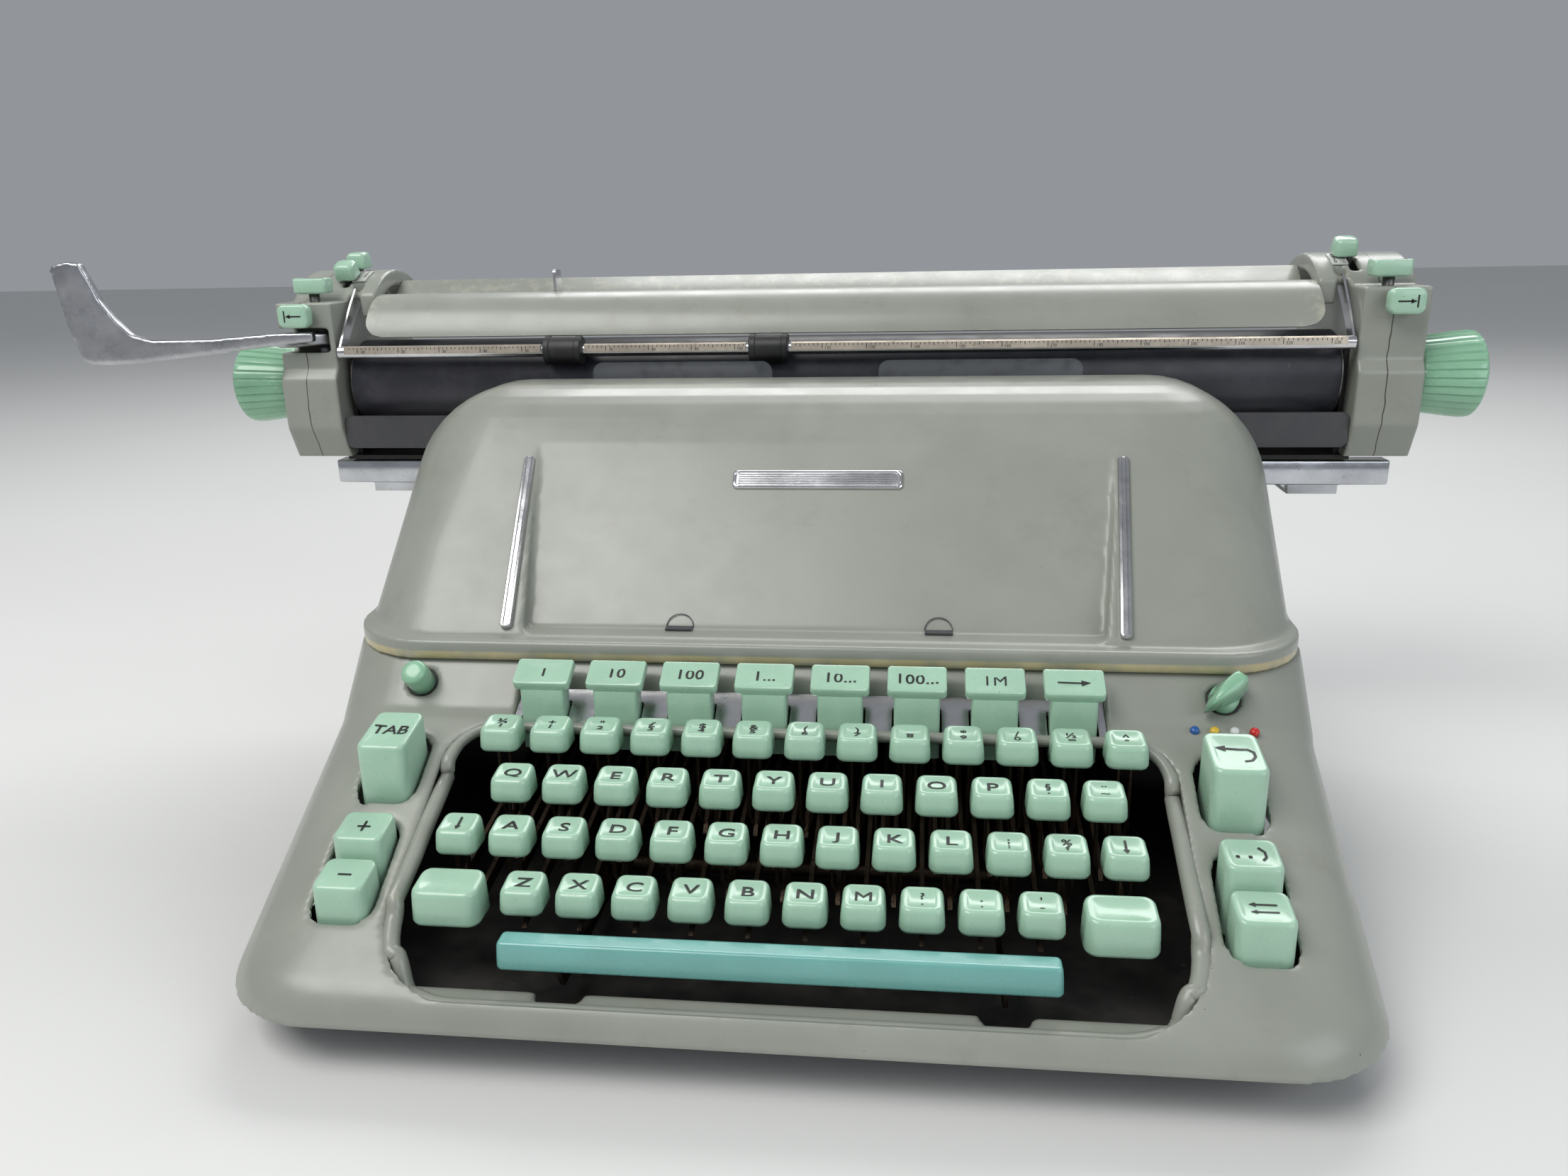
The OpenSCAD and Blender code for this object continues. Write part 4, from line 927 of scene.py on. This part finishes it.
b = Bag()
b.rings([[C(-139.5 + u, y, 229.2 + v) for u, v in rr(18, 3.4, 1.2)] for y in (273, 273.3, 274.7, 275)])
b.rings([[C(x, 271 + u, 235.2 + v) for u, v in rr(10, 15.4, 1.6)] for x in (-140, -139.8, -138.8, -138.6)])
b.make("paper_guide_blade", "chrome", "paper_edge_guide", "angle", ("paper_guide",))
b = Bag()
for u in (-146, -133):
    b.rings([[C(u + p, y, 229.2 + v) for p, v in rr(3.6, 2.4, 0.8)] for y in (272.6, 272.8, 273.2)])
b.make("paper_guide_pads", "black", "paper_edge_guide", "angle")
for side, x0, x1 in (("left", -120, -69), ("right", 67, 121)):
    ln = math.radians(100)
    w = lambda x, t: C(x, 298 + t * math.sin(ln), 234.6 + t * math.cos(ln))
    pts = [w(x0, 0), w(x0, 8), w(x0, 16), w(x0, 22)]
    pts += [w(x0 + 4 - 4 * math.cos(q), 22 + 4 * math.sin(q)) for q in [math.pi / 8 * k for k in (1, 2, 3,
            4)]]
    pts += [w(x1 - 4 + 4 * math.sin(q), 22 + 4 * math.cos(q)) for q in [math.pi / 8 * k for k in (0, 1, 2,
            3)]]
    pts += [w(x1, 22), w(x1, 12), w(x1, 0)]
    b = Bag()
    b.rings(tube(pts, 0.001, 10))
    b.make("paper_wire_" + side, "chrome", "support_" + side, True, ("paper_support_" + side,))

# ---------------------------------------------------------------- return lever
cad_copy("return_lever", "return_lever_casting", "alu", "return_lever_arm", 0.0007, 18)

# ---------------------------------------------------------------- buttons on the end covers
for side, sx in (("left", -1), ("right", 1)):
    # Margin key with its arrow
    b = Bag()
    x, z = sx * 262, 224
    rings = []
    for y, k in ((233.1, -0.9), (232.6, -0.2), (231.6, 0), (228.2, 0), (227.3, -0.5), (226.9, -1.3)):
        rings.append([C(x + u, y, z + v) for u, v in rr(16 + 2 * k, 11.5 + 2 * k, 3.4 + k)])
    b.rings(rings)
    b.turn([(230, 2.2), (230.1, 2.6), (240.9, 2.6), (241, 2.2)], lambda s, u, v: C(x + u, s, z + v), 20)
    b.make("margin_button_" + side, "cap", "margin_" + side, True, ("margin_key_" + side,))
    ink = Bag()
    F = lambda u, v, h: C(x + sx * u, 226.84, z + v)
    ink.add(*stroke([(-4.6, 0), (3.6, 0)], 0.75, F, 2.6))
    ink.add(*stroke([(4.0, -2.8), (4.0, 2.8)], 0.75, F))
    ink.make("margin_arrow_" + side, "ink", "margin_" + side, False)
    # Release key with a saddle top
    b = Bag()
    x = sx * 260
    sag = lambda u: 241.0 + (u / 9) ** 2 * 0.9
    rings = []
    for k, dz in ((-1.2, -7.5), (-0.3, -7.3), (0, -6.6), (0, -0.9), (-0.35, -0.3), (-1.1, 0)):
        rings.append([C(x + u, 248.5 + v, sag(u) + dz) for u, v in rr(18 + 2 * k, 10 + 2 * k, 2.4, 8)])
    for s in (0.75, 0.45, 0.15):
        rings.append([C(x + u * s, 248.5 + v * s, sag(u * s)) for u, v in rr(15.8, 7.8, 1.4, 8)])
    b.rings(rings)
    b.make("release_button_" + side, "cap", "release_" + side, True, ("release_key_" + side,))
    b = Bag()
    b.turn([(221, 2.2), (221.2, 2.6), (235, 2.6), (235.1, 2.2)], lambda s, u, v: C(x + u, 248.5 + v, s), 20)
    b.make("release_stem_" + side, "basket", "release_" + side, True)

for body, node, sx, lean, shift in (("selector_lf", "selector_left_front", -1, 25, 0),
                                    ("selector_lr", "selector_left_rear", -1, 6, 0),
                                    ("selector_r", "selector_right", 1, 17, 3)):
    a = math.radians(lean)
    x = sx * 250
    S = lambda u, v, h: C(x + u, 287 + v * math.cos(a) - h * math.sin(a),
                          200 + v * math.sin(a) + h * math.cos(a))
    b = Bag()
    rings = []
    for h, k in ((45.3, -0.9), (45.6, -0.2), (46.4, 0), (51.6, -0.3), (52.8, -0.8), (53.4, -1.8)):
        rings.append([S(u - sx * shift, v, h) for u, v in rr(11 + 2 * k, 10 + 2 * k, 2.4)])
    b.rings(rings)
    b.make(node + "_button", "cap", body, True, (node,))
    b = Bag()
    b.rings([[S(u, v, h) for u, v in rr(2.2, 4, 0.4)] for h in (34, 34.2, 45.5, 45.6)])
    b.make(node + "_stem", "basket", body, "angle")

# Curved scales beside the selector slots
for side, sx, nums in (("left", -1, ["1", "2", "3"]), ("right", 1, ["6", "4", "2", "0"])):
    lo, hi = (240.0, 247.2)
    arc = lambda x, deg, h: C(sx * x, 287 - (44 + h) * math.sin(math.radians(deg)),
                              200 + (44 + h) * math.cos(math.radians(deg)))
    b = Bag()
    for j in range(24):
        d0, d1 = 13 + j * 0.66, 13 + (j + 1) * 0.66
        b.add([arc(lo, d0, 0.1), arc(hi, d0, 0.1), arc(hi, d1, 0.1), arc(lo, d1, 0.1), arc(lo, d0, 0.75),
               arc(hi, d0, 0.75),
               arc(hi, d1, 0.75), arc(lo, d1, 0.75)], [(4, 5, 6, 7), (0, 3, 2, 1), (0, 1, 5, 4), (3, 7, 6, 2),
                                                       (1, 2, 6, 5), (0, 4, 7, 3)])
    b.make("scale_plate_" + side, "scale", "carriage", "angle", ("scale_plates",) if sx < 0 else ())
    ink = Bag()
    for j in range(13):
        d = 14 + j * 1.15
        w = 3.4 if j % 2 else 2.4
        ink.add([arc(hi - 0.4, d, 0.8), arc(hi - w, d, 0.8), arc(hi - w, d + 0.4, 0.8),
                 arc(hi - 0.4, d + 0.4, 0.8)], [(0, 1, 2, 3)])
    for q, t in enumerate(nums):
        d = 15.5 + q * 3.6
        G = lambda u, v, h, d=d: C(sx * 241.8 + u, 287 - 44.82 * math.sin(math.radians(d) - v / 44.8),
                                   200 + 44.82 * math.cos(math.radians(d) - v / 44.8))
        ink.add(*glyphs(t, 3.0, G))
    ink.make("scale_marks_" + side, "ink", "carriage", False)

# ---------------------------------------------------------------- stage, light and camera
fl = bpy.data.meshes.new("floor")
fl.from_pydata([(-6, -4, 0), (6, -4, 0), (6, 6, 0), (-6, 6, 0)], [], [(0, 1, 2, 3)])
floor = bpy.data.objects.new("floor", fl)
bpy.context.collection.objects.link(floor)
n = Nodes("pale_floor")
n.bump(n.noise(40, 3), 0.02, 0.001)
floor.data.materials.append(n.set(Base_Color=n.mix(n.noise(3, 3), lin(214, 214, 212), lin(222, 222, 220)),
                                  Roughness=0.6))

world = bpy.data.worlds.new("studio")
bpy.context.scene.world = world
world.use_nodes = True
world.node_tree.nodes["Background"].inputs[0].default_value = (0.80, 0.84, 0.9, 1)
world.node_tree.nodes["Background"].inputs[1].default_value = 0.36


def area(name, at, aim, size, power, colour=(1, 1, 1)):
    li = bpy.data.lights.new(name, "AREA")
    li.shape = "RECTANGLE"
    li.size, li.size_y = size
    li.energy = power
    li.color = colour
    ob = bpy.data.objects.new(name, li)
    ob.location = at
    ob.rotation_euler = (Vector(aim) - Vector(at)).to_track_quat("-Z", "Y").to_euler()
    bpy.context.collection.objects.link(ob)


mid = (0.0, 0.0, 0.12)
area("key_light", (-0.7, -0.7, 1.6), mid, (1.3, 1.0), 23, (1, 0.99, 0.96))
area("fill_light", (1.3, -1.1, 0.9), mid, (1.2, 1.0), 8, (0.9, 0.95, 1))
area("back_light", (0.2, 1.3, 1.4), mid, (1.8, 0.6), 18)

# The viewer's eye in working millimetres, and how the view is turned, in degrees
EYE, YAW, PITCH, ROLL = (42.163, -338.293, 261.108), 6.703, 17.0, -1.246
SENSOR, LENS = 36, 27.07
cam = bpy.data.cameras.new("camera")
cam.sensor_width = SENSOR
cam.lens = LENS
cob = bpy.data.objects.new("camera", cam)
bpy.context.collection.objects.link(cob)
yaw, pitch, roll = math.radians(YAW), math.radians(PITCH), math.radians(ROLL)
look = Matrix.Rotation(yaw, 3, "Z") @ Matrix.Rotation(math.pi / 2 - pitch, 3, "X") @ Matrix.Rotation(roll, 3,
        "Z")
cob.matrix_world = Matrix.Translation(P(*EYE)) @ look.to_4x4()
bpy.context.scene.camera = cob
bpy.context.scene.view_settings.view_transform = "Standard"
